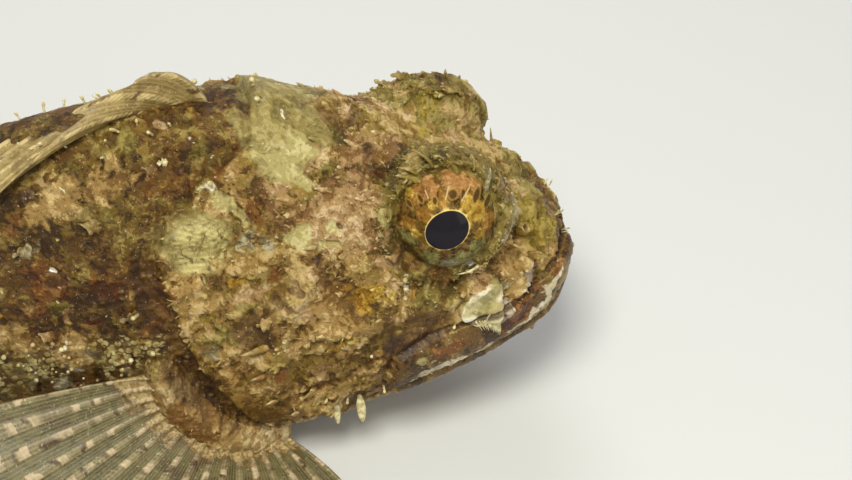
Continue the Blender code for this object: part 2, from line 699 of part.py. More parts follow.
def build_trunk():
    trunk = new_object("trunk", body_mesh("trunk", TRUNK_STATIONS, TRUNK_SIDES))
    fuse(trunk, trunk_pieces())
    boolean(trunk, prism("front", region_before_gill(-GAP / 2), FAR), "DIFFERENCE")
    rear = [(TAIL_CUT, 80), (TAIL_CUT + TAIL_SLANT, 24), (TAIL_CUT, -10), (180, -10), (180, 80)]
    boolean(trunk, prism("rear", rear, FAR), "DIFFERENCE")
    boolean(trunk, floor_box(0.0), "DIFFERENCE")
    return trunk


def build_tail():
    tail = new_object("tail", body_mesh("tail", TAIL_STATIONS, TAIL_SIDES))
    edge = [(TAIL_CUT + GAP, 80), (TAIL_CUT + TAIL_SLANT + GAP, 24), (TAIL_CUT + GAP, -10)]
    boolean(tail, prism("front", [*edge, (40, -10), (40, 80)], FAR), "DIFFERENCE")
    return tail


def trim_to_body(fin):
    """Cuts a fin's root back to the skin, with the gap that touching pieces keep."""
    boolean(fin, body_mesh("grown_trunk", TRUNK_STATIONS, TRUNK_SIDES, grow=GAP), "DIFFERENCE")
    past_tail = [*TAIL_STATIONS[:-1], ROOT_STATION + GAP]
    boolean(fin, body_mesh("grown_tail", past_tail, TAIL_SIDES, grow=GAP), "DIFFERENCE")
    head = new_object("grown_head", body_mesh("grown_head", HEAD_STATIONS, HEAD_SIDES, head=True, grow=GAP))
    boolean(head, prism("front", region_before_gill(GAP * 1.5), FAR), "INTERSECT")
    boolean(fin, head, "DIFFERENCE")
    if fin.name.startswith(("pectoral", "pelvic")):
        side = 1 if fin.name.endswith("left") else -1
        boolean(fin, pectoral_base(side, GAP), "DIFFERENCE")


# spiny dorsal fin: twelve spines. The first stand a little, and the rest lie folded back along the
# right side of the midline. For each: length, turn of the tip from the midline, height of the tip
DORSAL_SPINES = np.array([
    (7.6, -0.01, 4.4), (13.5, -0.14, 3.2), (16.0, -0.40, 2.4), (19.0, -0.60, 2.2), (20.5, -0.74, 2.1),
    (20.0, -0.80, 2.1), (18.5, -0.80, 2.1), (17.0, -0.78, 2.2), (15.0, -0.74, 2.3), (13.0, -0.68, 2.4),
    (11.5, -0.58, 2.8), (12.0, -0.44, 3.8),
])
DORSAL_FROM, DORSAL_TO = 48.5, 87.5


def back_height(s):
    return float(smooth_curve(np.array(float(s)), STATIONS[:, 0], STATIONS[:, 1]))


def belly_height(s):
    return float(smooth_curve(np.array(float(s)), STATIONS[:, 0], STATIONS[:, 2]))


def folded_ray(s, length, rise, lean, depth=3.0, top=True):
    """Root, bend and tip of a ray that lies back along the midline. rise is its angle above the skin."""
    height = back_height if top else belly_height
    slope = math.atan2(height(s + 4) - height(s - 4), 8)
    sign = 1 if top else -1
    angle = slope + sign * rise
    way = np.array([math.cos(angle), -math.sin(lean) * abs(math.sin(rise)), math.sin(angle)])
    way /= np.linalg.norm(way)
    root = np.array([s, 0.0, height(s) - sign * depth])
    reach = length + depth / math.sin(rise)
    tip = root + way * reach
    return [root, root + way * reach * 0.5 + [0, 0, sign * 0.06 * length], tip]


def dorsal_rays():
    """Each spine runs from the midline back and down over the skin of the fish's right side."""
    rays = []
    for i, (length, turn, height) in enumerate(DORSAL_SPINES):
        s = DORSAL_FROM + (DORSAL_TO - DORSAL_FROM) * i / (len(DORSAL_SPINES) - 1)
        root, out, _ = skin_frame(s, 0.0, head=False)
        middle, middle_out, _ = skin_frame(s + length * 0.5, turn * 0.55, head=False)
        tip, tip_out, _ = skin_frame(s + length, turn, head=False)
        root, middle, tip = root - out * 1.2, middle + middle_out * height * 0.85, tip + tip_out * height
        rays.append([root, 2 * middle - (root + tip) / 2, tip])
    return rays


SOFT_RAYS = 9
SOFT_FROM, SOFT_TO = 89.5, 106.0


def soft_dorsal_rays():
    rays = []
    for i in range(SOFT_RAYS):
        share = i / (SOFT_RAYS - 1)
        length = 13 + 6 * math.sin(math.pi * (0.15 + 0.75 * share))
        s = SOFT_FROM + (SOFT_TO - SOFT_FROM) * share
        rays.append(folded_ray(s, length, math.radians(44 - 8 * share), math.radians(8)))
    return rays


ANAL_LENGTHS = [8, 15, 14, 16, 16, 15, 13, 11]
ANAL_FROM, ANAL_TO = 91.0, 105.0


def anal_rays():
    rays = []
    for i, length in enumerate(ANAL_LENGTHS):
        share = i / (len(ANAL_LENGTHS) - 1)
        s = ANAL_FROM + (ANAL_TO - ANAL_FROM) * share
        rays.append(folded_ray(s, length, math.radians(24 + 2 * share), 0.0, depth=2.4, top=False))
    return rays


CAUDAL_RAYS = 13
CAUDAL_LENGTH = 33.13
CAUDAL_SPREAD = math.radians(20)


def caudal_rays():
    rays = []
    for i in range(CAUDAL_RAYS):
        share = 2 * i / (CAUDAL_RAYS - 1) - 1
        angle = CAUDAL_SPREAD * share
        root = np.array([ROOT_STATION - 5.0, 0.0, 23.0 + 6.0 * share])
        way = np.array([math.cos(angle), 0.0, math.sin(angle)])
        reach = 5.0 + CAUDAL_LENGTH * (1 - 0.10 * share**2)
        tip = root + way * reach
        rays.append([root, root + way * reach * 0.5 + [0, 0.9, 0], tip])
    return rays


# pectoral fins: fans that lie out over the floor behind the gill covers, on a fleshy base
PECTORAL_RAYS = 17
# along the fin from its upper to its lowest ray: root behind the snout, root height, radius of the fleshy
# base, angle out from straight back, length and height of the tip
PECTORAL = np.array([
    (0.00, 59.0, 20.5, 2.0, 2, 28, 18.0),
    (0.25, 57.0, 14.5, 2.9, 30, 35, 6.0),
    (0.50, 53.0, 9.4, 3.3, 60, 37, 0.9),
    (0.75, 48.6, 6.0, 3.1, 90, 32, 0.6),
    (1.00, 44.6, 4.4, 2.5, 122, 24, 0.5),
])
# the lowest rays leave their base turned this much further forward, and curve back
FRONT_CURL = math.radians(18)
BASE_PROUD = 1.2


def pectoral_row(t):
    return [float(smooth_curve(np.array(t), PECTORAL[:, 0], PECTORAL[:, k])) for k in range(1, 7)]


def pectoral_foot(side, t):
    """The middle of the fleshy base, a little outside the trunk's skin."""
    s, z, radius, _, _, _ = pectoral_row(t)
    p, out, _ = side_place(s, z, side, head=False)
    return p + out * BASE_PROUD, out, radius


def pectoral_base(side, grow=0.0):
    """The fleshy base that carries the fin's rays."""
    path, outs, radii = [], [], []
    for t in np.linspace(0, 1, 7):
        p, out, radius = pectoral_foot(side, float(t))
        path.append(p)
        outs.append(out)
        radii.append(radius + grow)
    first = path[0] + (path[0] - path[1]) * (0.35 + grow * 0.2)
    last = path[-1] + (path[-1] - path[-2]) * (0.35 + grow * 0.2)
    path = [first, *path, last]
    outs = [outs[0], *outs, outs[-1]]
    radii = [radii[0] * 0.55, *radii, radii[-1] * 0.6]
    return lobe_mesh("base", path, radii, radii, outs, sides=8)


def pectoral_rays(side):
    rays = []
    for i in range(PECTORAL_RAYS):
        t = i / (PECTORAL_RAYS - 1)
        _, _, _, angle, length, tip_z = pectoral_row(t)
        foot, out, radius = pectoral_foot(side, t)
        angle = math.radians(angle)
        way = np.array([math.cos(angle), side * math.sin(angle), 0.0])
        root = foot - way * 0.5
        tip = foot + way * (length + radius)
        tip[2] = tip_z
        leave = angle + FRONT_CURL * t**3
        bend = foot + np.array([math.cos(leave), side * math.sin(leave), 0.0]) * length * 0.45
        bend[2] = foot[2] * 0.72 + tip_z * 0.28 + 1.0
        rays.append([root, bend, tip])
    return rays


# pelvic fins: a spine and five rays under each side of the belly, lying out on the floor
PELVIC_RAYS = 6
PELVIC_S, PELVIC_Y = 53.0, 8.5
FIN_FLOOR = 0.9


def pelvic_rays(side):
    rays = []
    for i in range(PELVIC_RAYS):
        share = i / (PELVIC_RAYS - 1)
        angle = math.radians(58 - 46 * share)
        length = 24 + 5 * math.sin(math.pi * (0.2 + 0.6 * share))
        way = np.array([math.cos(angle), side * math.sin(angle), 0.0])
        foot = np.array([PELVIC_S + 6.0 * share, side * (PELVIC_Y - 2.0 * share), 2.6])
        tip = foot + way * length
        tip[2] = FIN_FLOOR
        bend = foot + way * length * 0.4
        bend[2] = 1.6
        rays.append([foot, bend, tip])
    return rays


def build_fins():
    fins = {
        "dorsal_fin_spiny": ribbed_fin("fin", dorsal_rays(), 6, 1.2, 0.6, 0.22),
        "dorsal_fin_soft": ribbed_fin("fin", soft_dorsal_rays(), 5, 1.1, 0.6, 0.10),
        "anal_fin": ribbed_fin("fin", anal_rays(), 5, 1.2, 0.6, 0.15),
        "caudal_fin": ribbed_fin("fin", caudal_rays(), 6, 1.3, 0.6, 0.06, root_depth=2.6, root_share=0.3),
    }
    for side, word in ((1, "left"), (-1, "right")):
        fins["pectoral_fin_" + word] = ribbed_fin("fin", pectoral_rays(side), 6, 1.3, 0.6, 0.09,
                                                  root_depth=1.6)
        fins["pelvic_fin_" + word] = ribbed_fin("fin", pelvic_rays(side), 6, 1.2, 0.6, 0.12,
                                                root_depth=1.0)
    nodes = {}
    for name, mesh in fins.items():
        fin = new_object(name, mesh)
        trim_to_body(fin)
        boolean(fin, floor_box(0.0), "DIFFERENCE")
        nodes[name] = fin
    return nodes


def main():
    clear_scene()
    skin = colour("mottled_skin", (0.40, 0.26, 0.12), 0.55)
    fin_skin = colour("fin_membrane", (0.52, 0.43, 0.27), 0.45)
    eye_skin = colour("eye", (0.10, 0.07, 0.04), 0.12)
    fish = bpy.data.objects.new("fish", None)
    bpy.context.scene.collection.objects.link(fish)
    for node in (build_head(), build_jaw(), build_trunk(), build_tail()):
        finish_node(node, skin, fish)
    for side, word in ((1, "left"), (-1, "right")):
        finish_node(new_object("eye_" + word, eye_mesh(side)), eye_skin, fish)
    for fin in build_fins().values():
        finish_node(fin, fin_skin, fish)


main()
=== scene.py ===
# The looks of a small scorpionfish that rests on a pale floor: one seamless warty skin, its spines, flaps
# and fringes, banded fins with raised rays, and gold-ringed eyes.
import math

import bpy
import numpy as np
from mathutils import Matrix, Vector
from mathutils.kdtree import KDTree

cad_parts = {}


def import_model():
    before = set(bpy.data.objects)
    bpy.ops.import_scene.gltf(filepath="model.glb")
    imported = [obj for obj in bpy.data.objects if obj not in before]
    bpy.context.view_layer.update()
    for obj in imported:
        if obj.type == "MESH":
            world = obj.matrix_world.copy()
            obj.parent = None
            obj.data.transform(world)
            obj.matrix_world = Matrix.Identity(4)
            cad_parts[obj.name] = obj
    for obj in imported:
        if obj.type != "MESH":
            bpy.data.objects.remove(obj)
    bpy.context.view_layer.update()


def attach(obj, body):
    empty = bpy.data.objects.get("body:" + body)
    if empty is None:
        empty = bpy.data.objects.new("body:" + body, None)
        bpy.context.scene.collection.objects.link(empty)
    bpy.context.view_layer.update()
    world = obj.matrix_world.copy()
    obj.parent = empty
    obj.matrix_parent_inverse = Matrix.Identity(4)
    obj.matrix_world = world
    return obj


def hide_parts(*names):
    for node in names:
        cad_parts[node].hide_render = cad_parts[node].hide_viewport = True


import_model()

MM = 0.001
SNOUT_X = 85.5
NOSE_ROUND = 6.0
BODY_END = 138.0

# distance behind the snout, back, belly, half width, height of the widest place,
# squareness of the upper half, squareness of the lower half
STATIONS = np.array([
    (0, 28.2, 15.0, 8.5, 21.0, 2.2, 2.2),
    (5, 31.6, 12.6, 11.6, 20.0, 2.2, 2.2),
    (9, 34.5, 10.8, 13.6, 19.5, 2.1, 2.2),
    (13, 37.5, 9.0, 14.8, 19.0, 2.0, 2.3),
    (20, 42.0, 6.2, 16.4, 18.5, 2.0, 2.4),
    (28, 45.5, 3.6, 17.9, 18.5, 2.0, 2.5),
    (36, 48.5, 1.6, 18.8, 18.5, 2.0, 2.6),
    (44, 50.5, 0.4, 18.8, 18.5, 1.9, 2.7),
    (55, 51.3, -0.4, 17.8, 19.0, 1.8, 2.8),
    (70, 50.0, -0.4, 15.6, 20.0, 1.8, 2.8),
    (85, 46.3, 2.4, 12.6, 21.5, 1.8, 2.4),
    (100, 41.0, 7.4, 9.2, 23.5, 1.8, 2.1),
    (115, 35.0, 12.4, 6.2, 24.0, 1.9, 2.0),
    (128, 31.0, 15.6, 4.2, 23.3, 2.0, 2.0),
    (138, 30.4, 15.6, 2.0, 23.0, 2.2, 2.2),
], float)

EYE = np.array([19.4, 9.8, 35.6])
EYE_RADIUS = 7.2
EYE_TILT = math.radians(20)
EYE_BACK = math.radians(4)
ORBIT_RADIUS = 9.9
ORBIT_DEPTH = 3.6
ORBIT_BLEND = 1.6
TROUGH_DEPTH, TROUGH_WIDTH = 1.6, 2.8

GILL_EDGE = [(42, 56), (44.5, 48), (50, 45), (56, 40.8), (58, 36.5), (56.5, 30), (55.2, 25), (53.5, 20),
             (50.6, 15.2), (48, 11), (45, 7.5), (40, 3.6), (35, -3)]
MOUTH_LINE = [(-2, 21.6), (1, 21), (4, 19.4), (8, 17.4), (12.5, 15), (17, 13.2), (22, 11.8), (27, 10.8)]
GILL_RAISE, GILL_FADE = 1.0, 9.0

SIDES = (1, -1)
SIDE_WORDS = [(1, "left"), (-1, "right")]


def smooth_curve(x, xs, ys):
    """A curve through the stations that never overshoots them."""
    gap = np.diff(xs)
    slope = np.diff(ys) / gap
    tangent = np.empty_like(ys)
    tangent[0], tangent[-1] = slope[0], slope[-1]
    same = slope[:-1] * slope[1:] > 0
    before, after = 2 * gap[1:] + gap[:-1], gap[1:] + 2 * gap[:-1]
    first, second = np.where(same, slope[:-1], 1.0), np.where(same, slope[1:], 1.0)
    tangent[1:-1] = np.where(same, (before + after) / (before / first + after / second), 0.0)
    i = np.clip(np.searchsorted(xs, x) - 1, 0, len(xs) - 2)
    t = (x - xs[i]) / gap[i]
    return ((2 * t**3 - 3 * t**2 + 1) * ys[i] + (t**3 - 2 * t**2 + t) * gap[i] * tangent[i]
            + (3 * t**2 - 2 * t**3) * ys[i + 1] + (t**3 - t**2) * gap[i] * tangent[i + 1])


def smooth_step(low, high, x):
    """0 below low, 1 above high, and an easy slope between them."""
    t = np.clip((x - low) / (high - low), 0, 1)
    return t * t * (3 - 2 * t)


def softer_max(a, b, blend):
    """The larger of the two, with a soft change from one to the other."""
    h = np.clip(0.5 + 0.5 * (a - b) / blend, 0, 1)
    return b + (a - b) * h + blend * h * (1 - h)


def bump(distance, width):
    """A smooth hump, 1 at no distance and almost gone at twice the width."""
    return np.exp(-(distance / width)**2)


def hashed(i, j, k, seed):
    """A repeatable number from 0 to 1 for each whole-number corner."""
    h = (i.astype(np.int64) * 374761393 + j.astype(np.int64) * 668265263
         + k.astype(np.int64) * 2147483647 + seed * 1274126177) & 0xFFFFFFFF
    h = ((h ^ (h >> 13)) * 1103515245) & 0xFFFFFFFF
    h = ((h ^ (h >> 16)) * 2246822519) & 0xFFFFFFFF
    return ((h ^ (h >> 15)) & 0xFFFFFF) / float(0xFFFFFF)


def value_noise(p, size, seed):
    """Smooth noise from 0 to 1 with features about size millimetres across."""
    q = p / size
    corner = np.floor(q)
    t = q - corner
    t = t * t * (3 - 2 * t)
    total = np.zeros(p.shape[:-1])
    for di in (0, 1):
        for dj in (0, 1):
            for dk in (0, 1):
                weight = ((t[..., 0] if di else 1 - t[..., 0]) * (t[..., 1] if dj else 1 - t[..., 1])
                          * (t[..., 2] if dk else 1 - t[..., 2]))
                i, j, k = (corner[..., axis] + step for axis, step in enumerate((di, dj, dk)))
                total += weight * hashed(i, j, k, seed)
    return total


def rough_noise(p, size, seed, octaves=4, gain=0.55):
    """Noise from 0 to 1 whose large forms carry smaller and smaller ones."""
    total, weight, norm = np.zeros(p.shape[:-1]), 1.0, 0.0
    for octave in range(octaves):
        total += weight * value_noise(p + octave * 17.3, size / 2.03**octave, seed + octave)
        norm += weight
        weight *= gain
    return total / norm


def line_distance(s, z, line, widths=None):
    """Distance in side view to a bent line, and with widths the line's width at the nearest place."""
    best, width = np.full(np.shape(s), 1e9), np.zeros(np.shape(s))
    for k in range(len(line) - 1):
        start, end = np.array(line[k], float), np.array(line[k + 1], float)
        way = end - start
        t = np.clip(((s - start[0]) * way[0] + (z - start[1]) * way[1]) / (way @ way), 0, 1)
        d = np.hypot(s - start[0] - t * way[0], z - start[1] - t * way[1])
        near = d < best
        best = np.where(near, d, best)
        if widths is not None:
            width = np.where(near, widths[k] + (widths[k + 1] - widths[k]) * t, width)
    return best if widths is None else (best, width)


def eye_axis(side):
    """The way an eye looks."""
    flat = math.cos(EYE_TILT)
    return np.array([flat * math.sin(EYE_BACK), side * flat * math.cos(EYE_BACK), math.sin(EYE_TILT)])


def eye_directions(side):
    """The eye's axis, the way up over its rim and the way back along it."""
    axis = eye_axis(side)
    up = np.array([0, 0, 1.0]) - axis * axis[2]
    up /= np.linalg.norm(up)
    back = np.array([1.0, 0, 0]) - axis * axis[0]
    back -= up * (back @ up)
    return axis, up, back / np.linalg.norm(back)


def body_section(s, turn):
    """Places on the plain body, by their distance behind the snout and their turn from the back."""
    back, belly, width, middle, upper, lower = (
        smooth_curve(s, STATIONS[:, 0], STATIONS[:, k]) for k in range(1, 7))
    nose = np.sqrt(1 - (1 - np.clip(s / NOSE_ROUND, 0, 1))**2)
    up, out = np.cos(turn), np.sin(turn)
    power = 2 / np.where(up > 0, upper, lower)
    height = np.where(up > 0, back - middle, middle - belly) * nose
    y = width * nose * np.sign(out) * np.abs(out)**power
    z = middle + height * np.sign(up) * np.abs(up)**power
    return np.stack([s + 0 * y, y, z], -1)


def push_out_orbits(p):
    """Lets both orbits stand out of the head as soft domes, with a trough between them."""
    for side in SIDES:
        axis = eye_axis(side)
        centre = EYE * [1, side, 1] - axis * ORBIT_DEPTH
        away = p - centre
        reach = np.maximum(np.linalg.norm(away, axis=-1), 1e-6)
        facing = smooth_step(-0.25, 0.35, (away @ axis) / reach)
        pushed = reach + facing * (softer_max(reach, ORBIT_RADIUS, ORBIT_BLEND) - reach)
        p = centre + away / reach[..., None] * pushed[..., None]
    s, y, z = p[..., 0], p[..., 1], p[..., 2]
    along = smooth_step(8, 15, s) * (1 - smooth_step(23, 28, s)) * (z > 30)
    p[..., 2] -= TROUGH_DEPTH * np.exp(-(y / TROUGH_WIDTH)**2) * along
    return p


def grid_normals(p, closed=True):
    """The way out of a grid of points, at each of them."""
    along = np.gradient(p, axis=0)
    around = np.roll(p, -1, axis=1) - np.roll(p, 1, axis=1) if closed else np.gradient(p, axis=1)
    normal = np.cross(along, around)
    return normal / np.maximum(np.linalg.norm(normal, axis=-1), 1e-9)[..., None]


def before_gill(p):
    """How far a place is in front of the gill covers' edge, in millimetres, or behind it if below 0."""
    line = np.array(GILL_EDGE[::-1], float)
    ahead = np.interp(p[..., 2], line[:, 1], line[:, 0]) - p[..., 0]
    return np.sign(ahead) * line_distance(p[..., 0], p[..., 2], GILL_EDGE)


def world(p):
    """Shape coordinates in millimetres as places in the shared frame, in metres."""
    q = np.array(p, float)
    q[..., 0] = SNOUT_X - q[..., 0]
    return q * MM


# forms that stand out of the skin, as the solids have them: places in side view and half widths
PLATE = [(2.0, 23.2), (6.0, 21.6), (11.0, 19.2), (16.0, 17.8), (21.0, 16.8), (25.5, 15.2), (27.2, 13.4)]
PLATE_HALF = [1.6, 2.2, 2.6, 2.9, 3.3, 2.9, 1.6]
RIDGES = [
    ([(8, 26.4), (13, 26.2), (19, 25.6), (25, 25.0), (31, 24.6), (37, 24.0)],
     [0.9, 1.3, 1.4, 1.5, 1.4, 0.9], 1.0),
    ([(37.5, 33), (41.5, 28.5), (43.6, 23.5), (44.2, 18.5), (43.0, 14.0), (39.5, 10.5), (34.5, 8.6)],
     [0.9, 1.1, 1.3, 1.3, 1.2, 1.0, 0.8], 0.9),
    ([(41, 38.5), (46.5, 38.8), (52, 39.0), (56.6, 39.0)], [0.9, 1.0, 1.0, 0.8], 0.8),
    ([(42, 35.5), (47, 34.2), (52, 33.0), (57, 32.0)], [0.9, 0.9, 0.9, 0.8], 0.7),
    ([(9.0, 24.6), (10.6, 22.0), (13.4, 21.6)], [0.9, 1.2, 1.1], 1.0),
]
RIM_RADIUS, RIM_HEIGHT = 7.9, 2.9
LID_EDGE = 6.2

# along a pectoral fin from its upper to its lowest ray: root behind the snout, root height, radius of the
# fleshy base, angle out from straight back, length and height of the tip
PECTORAL = np.array([
    (0.00, 59.0, 20.5, 2.0, 2, 28, 18.0),
    (0.25, 57.0, 14.5, 2.9, 30, 35, 6.0),
    (0.50, 53.0, 9.4, 3.3, 60, 37, 0.9),
    (0.75, 48.6, 6.0, 3.1, 90, 32, 0.6),
    (1.00, 44.6, 4.4, 2.5, 122, 24, 0.5),
])
PECTORAL_RAYS = 17
FRONT_CURL = math.radians(18)
BASE_PROUD = 1.2

# the skin's markings by colour: distance behind the snout, degrees round from the back, radius
MARKS = {
    "olive": [
        (20.5, 12, 1.6), (22, 16, 1.5), (4.5, 29, 1.6), (4.4, 45, 1.3), (18, 16, 2.2), (24, 20, 2.0),
        (33, 15, 1.6), (31, 26, 1.2), (49, 50, 1.6), (7, 8, 3.0), (8, 18, 2.4), (38, 39, 1.1),
        (34, 28, 1.1), (47, 69, 1.2), (50, 75, 1.9), (20, 70, 1.5), (23, 73, 1.5), (21, 68, 1.1),
        (12, 71, 1.4), (20, 27, 1.5), (14, 22, 1.3), (7, 3, 1.5), (5, 12, 1.4), (54, 41, 1.4),
        (56, 40, 1.0), (51, 25, 1.2), (42, 8, 1.1), (63, 42, 1.2), (60, 19, 1.4), (6, 71, 1.0),
        (68, 30, 1.8), (72, 70, 1.6),
    ],
    "brown": [
        (48.2, 99, 2.4), (45.5, 107, 1.8), (51, 92, 1.6), (22.5, 85, 1.8), (58.5, 62, 2.6), (58, 70, 2.4),
        (57, 77, 1.8), (27, 22, 1.2), (16, 24, 1.0), (55, 43, 1.9), (58, 56, 2.2), (65, 53, 1.7),
        (65, 47, 1.4), (68, 38, 1.4), (55, 29, 1.5), (57, 28, 1.2), (59, 3, 1.1), (47, 4, 1.1),
        (54, 1, 1.1), (60, 75, 1.6), (41, 58, 0.8), (45, 1, 1.1), (30, 7, 0.8), (18, 25, 1.1),
        (24, 84, 1.7), (27, 86, 1.7), (28, 90, 1.6), (29, 95, 1.4), (21, 79, 1.1), (3, 51, 1.1),
        (25, 79, 1.2), (41, 97, 1.4), (27, 101, 1.1), (68, 52, 1.7), (73, 52, 2.0), (62, 58, 1.6),
    ],
    "rust": [
        (21, 65, 1.6), (13.5, 58, 0.9), (10, 84, 1.7), (7, 76, 1.6), (4, 62, 1.6), (34, 42, 1.2),
        (44, 44, 1.4), (48, 32, 1.1), (43, 60, 1.2), (43, 89, 1.2), (41, 113, 1.2), (57, 65, 1.7),
        (58, 72, 1.6), (56, 72, 1.2), (72, 61, 3.0), (74, 68, 1.6), (75, 42, 1.4), (28, 28, 1.1),
        (11, 80, 1.4), (9, 79, 1.0), (12, 91, 1.0), (20, 60, 1.2), (18, 81, 1.0), (13, 57, 0.8),
        (19, 91, 1.4), (21, 91, 1.1), (52, 34, 1.0), (65, 62, 2.0), (60, 63, 1.4), (66, 72, 1.6),
    ],
    "tan": [
        (69, 35, 2.4), (72, 40, 1.8), (41, 104, 2.2), (37, 100, 1.6), (64, 84, 2.2), (70, 82, 2.4),
        (60, 86, 1.8), (76, 80, 2.2), (28, 16, 1.8), (33, 22, 1.4), (36, 74, 4.4), (32, 54, 1.6),
        (11.5, 60, 2.4), (12.5, 53, 1.8), (11, 66, 1.6), (38, 76, 1.4), (29, 65, 1.5), (54, 62, 1.9),
        (52, 67, 1.8), (49, 65, 1.2), (56, 52, 1.2), (48, 83, 1.9), (46, 91, 1.4), (26, 72, 1.2),
        (12, 51, 1.5), (10, 59, 1.5), (9, 53, 1.2), (11, 71, 1.2), (21, 19, 1.2), (22, 25, 1.4),
        (63, 34, 2.3), (61, 32, 1.5), (71, 42, 1.2), (67, 75, 1.2), (62, 64, 0.8), (75, 68, 1.0),
        (40, 81, 1.5), (35, 78, 1.6), (32, 73, 1.5), (36, 69, 1.4), (31, 80, 1.4), (34, 87, 1.4),
        (50, 89, 1.5),
    ],
    "pink": [
        (30, 20, 2.4), (26, 14, 1.4), (34, 45, 4.6), (36, 25, 1.4), (31, 34, 1.5), (32, 26, 1.2),
        (42, 39, 1.4), (41, 41, 1.0), (29, 39, 1.5), (35, 39, 1.6), (36, 47, 1.6), (38, 52, 1.4),
        (33, 50, 1.4), (31, 48, 1.4), (32, 42, 1.4), (46, 65, 1.4), (44, 64, 1.0), (37, 63, 1.6),
        (40, 71, 1.4), (38, 92, 1.5), (28, 57, 1.4), (29, 50, 1.4), (27, 67, 1.0), (16, 53, 0.8),
        (16, 68, 1.4), (16, 31, 1.4), (9, 19, 1.2), (16, 9, 1.6), (70, 73, 1.2), (55, 15, 0.8),
        (31, 2, 1.0), (23, 7, 1.0),
    ],
    "grey": [
        (73.8, 50, 1.0), (46, 51, 1.5), (43, 52, 1.3), (12, 71, 0.9), (17, 31, 1.2), (16, 33, 0.8),
        (46, 33, 0.7), (52, 80, 1.2), (72, 93, 1.5), (76, 92, 1.4), (67, 84, 1.5), (64, 79, 1.2),
    ],
    "gold": [
        (6, 43, 3.2), (9, 30, 2.6), (5, 50, 2.2), (4, 34, 2.0), (48.5, 61, 0.9), (30, 69, 1.3),
        (48, 61, 0.7), (19, 19, 1.4), (20, 14, 1.0), (20, 2, 1.4), (6, 27, 1.4), (6, 39, 1.6), (6, 48, 1.4),
        (43, 43, 0.7),
    ],
    "amber": [
        (34, 82, 1.3), (35.6, 84, 0.9), (20, 19, 0.8), (48.5, 61, 0.9), (46.5, 60, 0.6), (31, 69, 1.8),
        (36.5, 55, 0.7), (28.5, 72, 0.8), (38.5, 51, 0.6), (33, 66, 0.7), (36, 80, 0.6), (55, 66, 0.5),
        (24, 69, 0.7), (42, 84, 0.5), (47, 77, 0.5),
    ],
    "pale": [
        (42, 19, 2.6), (44, 18, 2.0), (40, 22, 2.2), (40, 5, 4.2), (37, 11, 3.6), (36, 15, 2.6),
        (42, 14, 2.4), (42, 8, 2.2), (38, 18, 2.4), (53, 51, 3.9), (46, 14, 1.2),
    ],
    "cream": [
        (36, 54, 1.0), (39, 27, 2.4), (41, 29, 2.6), (39, 31, 1.6), (43, 26, 1.4), (38, 34, 1.2),
        (50, 35, 0.9), (49, 39, 1.0), (48, 42, 1.1), (46.4, 45, 1.1), (55, 55, 0.7), (54, 57, 0.7),
        (53, 59, 0.7), (51.6, 61, 0.8), (39, 51, 1.4), (34, 47, 1.0), (28, 45, 0.7), (43, 81, 0.8),
        (42, 122, 0.8), (14, 72, 1.4), (16, 79, 2.0), (14, 79, 1.4), (19, 60, 0.5), (5, 79, 0.5),
        (8, 83, 0.7), (10, 93, 0.7), (24, 94, 0.8), (22, 95, 0.5), (19, 94, 0.5), (27, 112, 0.8),
    ],
    "dark": [
        (26.2, 86, 2.4), (22.5, 84, 1.4), (48, 99, 0.9), (56, 72, 1.3), (70.5, 59, 1.3), (67.5, 63, 1.2),
        (24.8, 59, 1.3), (22.4, 62, 0.9), (46.4, 76, 2.9), (43, 70, 1.3), (37, 58, 0.8), (40, 65, 0.7),
        (73, 34, 1.2), (33, 45, 0.5), (29, 18, 0.8), (24, 51, 0.8), (26, 55, 0.8), (19, 75, 0.7),
        (23, 10, 0.5), (25, 12, 0.5), (21, 24, 0.4), (41, 88, 0.7), (58, 44, 0.5), (27, 58, 0.7),
        (60, 77, 0.8), (28, 24, 0.7),
    ],
    "white": [
        (50, 35, 0.7), (40, 12, 0.5), (26, 64, 0.5), (26, 68, 0.4), (26, 70, 0.35), (55, 28, 0.5),
        (49, 26, 0.5), (52, 20, 0.5), (71, 57, 0.4), (71, 80, 0.5), (79, 84, 0.5), (62, 83, 0.5),
        (59, 80, 0.5), (17, 56, 0.7), (12, 81, 0.7),
    ],
    "lilac": [
        (13.4, 34, 1.8), (13.8, 38, 2.0), (14.2, 42, 1.4), (10, 33, 1.0), (8, 71, 1.6), (7, 69, 1.0),
        (12.4, 81, 0.8), (12.5, 85, 0.7), (12.4, 77, 0.7), (17.5, 55, 0.8), (70, 90, 1.0),
    ],
}
LACHRYMAL = [(14, 73, 1.7), (16, 79, 2.3), (15, 76, 2.4), (14.5, 80, 1.9)]
# the pale edge of the lower jaw: distance behind the snout, degrees round from the back
LIP_EDGE = [(3.6, 68), (4.2, 72), (4.7, 81), (6.9, 87), (9.8, 93), (12.4, 98), (16.6, 103), (21, 106),
            (25.5, 112)]
LIP_WIDTH, LIP_STEPS = 0.8, 60
# bare skin between the crusts: the same three numbers
BARE = [(22.6, 82, 3.0), (26, 88, 3.0), (48.2, 98, 3.4), (51, 90, 2.4), (45, 106, 2.6), (42, 112, 1.6)]
# the fan on the gill cover: its mark, the place in side view that its lines spread from, and how many
FAN_MARK, FAN_HUB, FAN_LINES, GILL_RAYS = [(52, 52, 3.6)], (40, 36), 150, 46
# the band of small pale scales over the pectoral fin: where it starts, its height there, fall and width
PEBBLE_FROM, PEBBLE_HEIGHT, PEBBLE_FALL, PEBBLE_BAND = 66, 22.6, 0.26, 3.4
